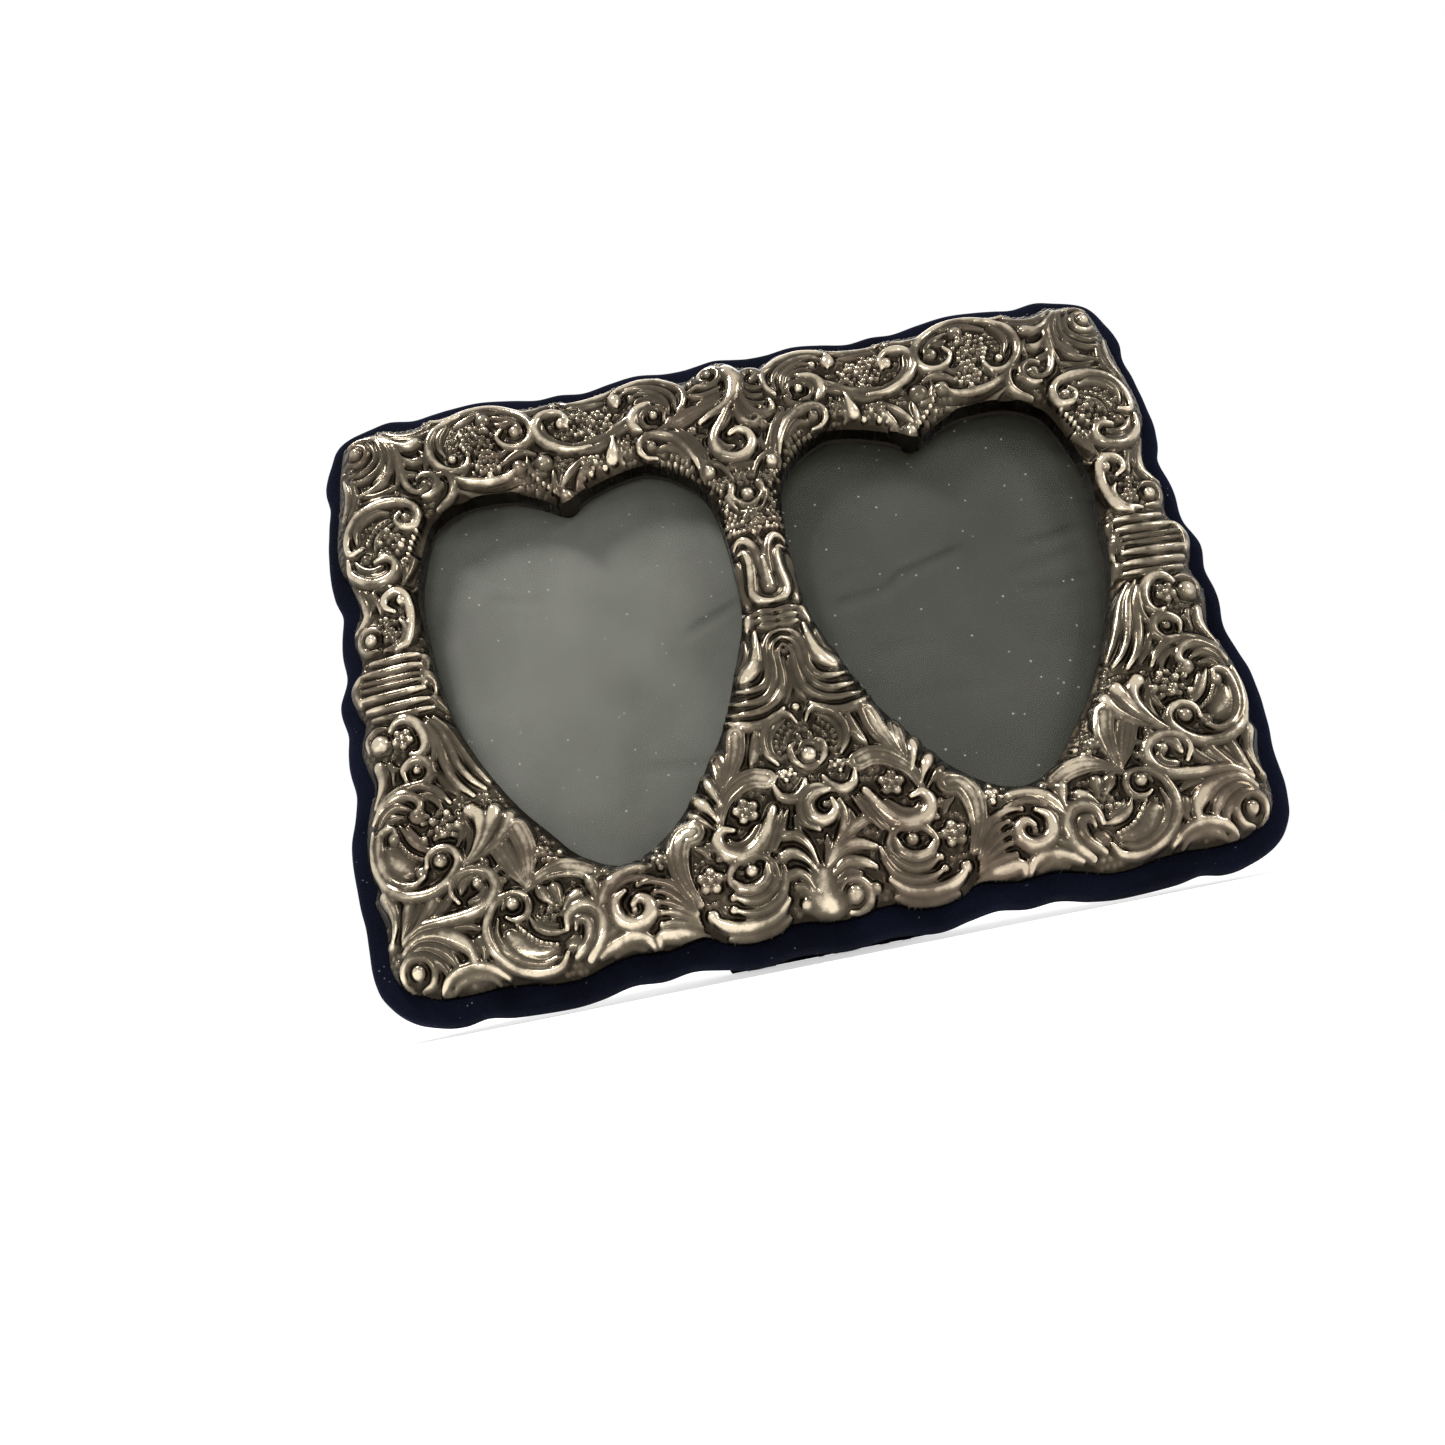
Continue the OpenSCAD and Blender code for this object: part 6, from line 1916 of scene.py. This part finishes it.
@dataclass
class Studio:
    """The pale floor, the white surroundings and the lamps."""

    half: float = 12.0
    gap: float = 0.0002
    # The light of the surroundings on the frame, as a share of how bright they look.
    ambient: float = 0.4
    # How much the floor glows where it is seen, and where it turns into the surroundings, in metres.
    glow: float = 0.52
    fade: tuple[float, float] = (0.3, 1.0)
    lamps: tuple[Softbox, ...] = (
        Softbox("key", (-0.35, -0.32, 1.0), (0.2, 0.2), 8.5),
        Softbox("fill", (0.7, -0.5, 0.55), (0.16, 0.4), 2.2),
        Softbox("rim", (0.1, 0.8, 0.9), (0.9, 0.5), 2.8),
        Softbox("low", (-0.25, -0.75, 0.12), (0.2, 0.1), 0.7),
    )

    def build(self) -> None:
        """Builds the studio."""
        for lamp in self.lamps:
            lamp.build()
        self.world()
        bpy.ops.object.select_all(action="DESELECT")
        bpy.ops.mesh.primitive_grid_add(
            x_subdivisions=8, y_subdivisions=8, size=2 * self.half, location=(0, 0, -self.gap)
        )
        floor = bpy.context.object
        floor.name = "floor"
        finish = Finish("pale_floor", 0.8, Base_Color=(0.86, 0.86, 0.86), Specular_IOR_Level=0.1)
        self.one_sided(finish)
        finish.dress(floor)

    @staticmethod
    def seen(nodes: Nodes) -> Socket:
        """Tells rays that look at a surface from those that only light something.

        Args:
            nodes: The tree that asks.

        Returns:
            1 for rays from the camera, through glass or off metal, and else 0.
        """
        rays = nodes.add("ShaderNodeLightPath", {}).outputs
        look = nodes.maths("MAXIMUM", rays["Is Camera Ray"], rays["Is Glossy Ray"])
        return nodes.maths("MAXIMUM", look, rays["Is Transmission Ray"])

    def one_sided(self, f: Finish) -> None:
        """Makes the floor glow a little to those rays, keep its shadow, and vanish from below.

        Args:
            f: The floor's finish.
        """
        look, place = self.seen(f), f.add("ShaderNodeNewGeometry", {}).outputs
        glow = f.add("ShaderNodeEmission", {"Strength": f.span(look, 0, self.glow)})
        lit = f.add("ShaderNodeAddShader", {0: f.shader.outputs[0], 1: glow.outputs[0]})
        # Past the fade it looks and shines like the surroundings, so no horizon shows.
        plain = f.add("ShaderNodeEmission", {"Strength": f.span(look, self.ambient, 1)})
        far = f.add("ShaderNodeVectorMath", {0: place["Position"]}, operation="LENGTH").outputs["Value"]
        fade = f.add("ShaderNodeMapRange", {"Value": far, "From Min": self.fade[0], "From Max": self.fade[1]})
        floor = f.add("ShaderNodeMixShader", {0: fade.outputs["Result"], 1: lit.outputs[0], 2: plain.outputs[0]})
        clear = f.add("ShaderNodeBsdfTransparent", {})
        sides = f.add("ShaderNodeMixShader", {0: place["Backfacing"], 1: floor.outputs[0], 2: clear.outputs[0]})
        f.fill(f.tree.nodes["Material Output"], {"Surface": sides.outputs[0]})

    def world(self) -> None:
        """Makes the surroundings white to look at and plain soft light to the frame."""
        world = bpy.data.worlds.new("studio")
        bpy.context.scene.world = world
        world.use_nodes = True
        nodes = Nodes(world.node_tree)
        strength = nodes.span(self.seen(nodes), self.ambient, 1)
        nodes.fill(nodes.tree.nodes["Background"], {"Color": (1, 1, 1), "Strength": strength})


def dress_nodes() -> None:
    """Gives each CAD node that stays its finish."""
    panes = ("glass_left", "glass_right")
    for finish, names in (
        (Board("brown_board", (0.075, 0.042, 0.022), (0.19, 0.115, 0.06)), ("back_panel_board", "strut_board")),
        # Near black: painted shade, so that the windows' lips and the gaps round the glass read as the dark band under
        # the rims.
        (Board("shade_black_board", (0.009, 0.007, 0.006), (0.026, 0.019, 0.014)), ("core_board", "filler_board")),
        (Board("grey_card", (0.28, 0.26, 0.22), (0.46, 0.43, 0.38)), ("pressure_card",)),
        (PlainMetal("brass", (0.62, 0.46, 0.2), (0.3, 0.19, 0.08)), ("fixing_brads",)),
        (
            PlainMetal("hinge_steel", (0.3, 0.295, 0.28), (0.16, 0.15, 0.135)),
            ("hinge_leaf_panel", "hinge_leaf_strut", "hinge_pin", "panel_rivets", "strut_rivets"),
        ),
        (PaneGlass(), panes),
    ):
        finish.make().dress(*(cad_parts[name] for name in names))
    for name in panes:
        # Light goes through the panes straight, so that what is behind them has no grain.
        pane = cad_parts[name]
        pane.visible_shadow = pane.visible_diffuse = False


def join(piece: bpy.types.Object, finish: Finish, body: str, node: str) -> None:
    """Args:
        piece: The piece.
        finish: Its finish.
        body: The body that it rides on.
        node: The CAD node that it stands for.
    """
    finish.dress(piece)
    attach(piece, body)
    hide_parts(node)
    LOG.info("%s: %d faces", piece.name, len(piece.data.polygons))


def main() -> None:
    """Builds the frame's pieces in order."""
    logging.basicConfig(level=logging.INFO, format="%(message)s")
    bpy.context.scene.view_settings.view_transform = "Standard"
    Camera().build()
    Studio().build()
    dress_nodes()
    silver, velvet = AgedSilver().make(), NavyVelvet().make()
    ribbon = NavyVelvet("navy_ribbon", (0.005, 0.006, 0.02), (0.02, 0.025, 0.07)).make()
    for piece in FrontCasing(Relief()).build():
        join(piece, silver, "frame", "front_casing")
    body = VelvetBody().build()
    join(body, velvet, "frame", "velvet_cover")
    for side, dark, light in (
        # The left sheet is lighter, partly a painted reflection of its glass.
        (Side.LEFT, (0.074, 0.075, 0.06), (0.134, 0.136, 0.116)),
        (Side.RIGHT, (0.026, 0.0265, 0.0195), (0.042, 0.043, 0.0325)),
    ):
        name = side.name.lower()
        paper = InsertSheet(f"insert_sheet_{name}", dark, light).make()
        join(Insert(side).build(), paper, "frame", f"insert_{name}")
    panel, strut = BackPanel(), Strut()
    cloth = panel.velvet()
    join(cloth, velvet, "back_panel", "back_panel_velvet")
    tab = panel.ribbon()
    join(tab, ribbon, "back_panel", "pull_tab")
    sleeve = strut.velvet()
    join(sleeve, velvet, "strut", "strut_velvet")


if __name__ == "__main__":
    main()
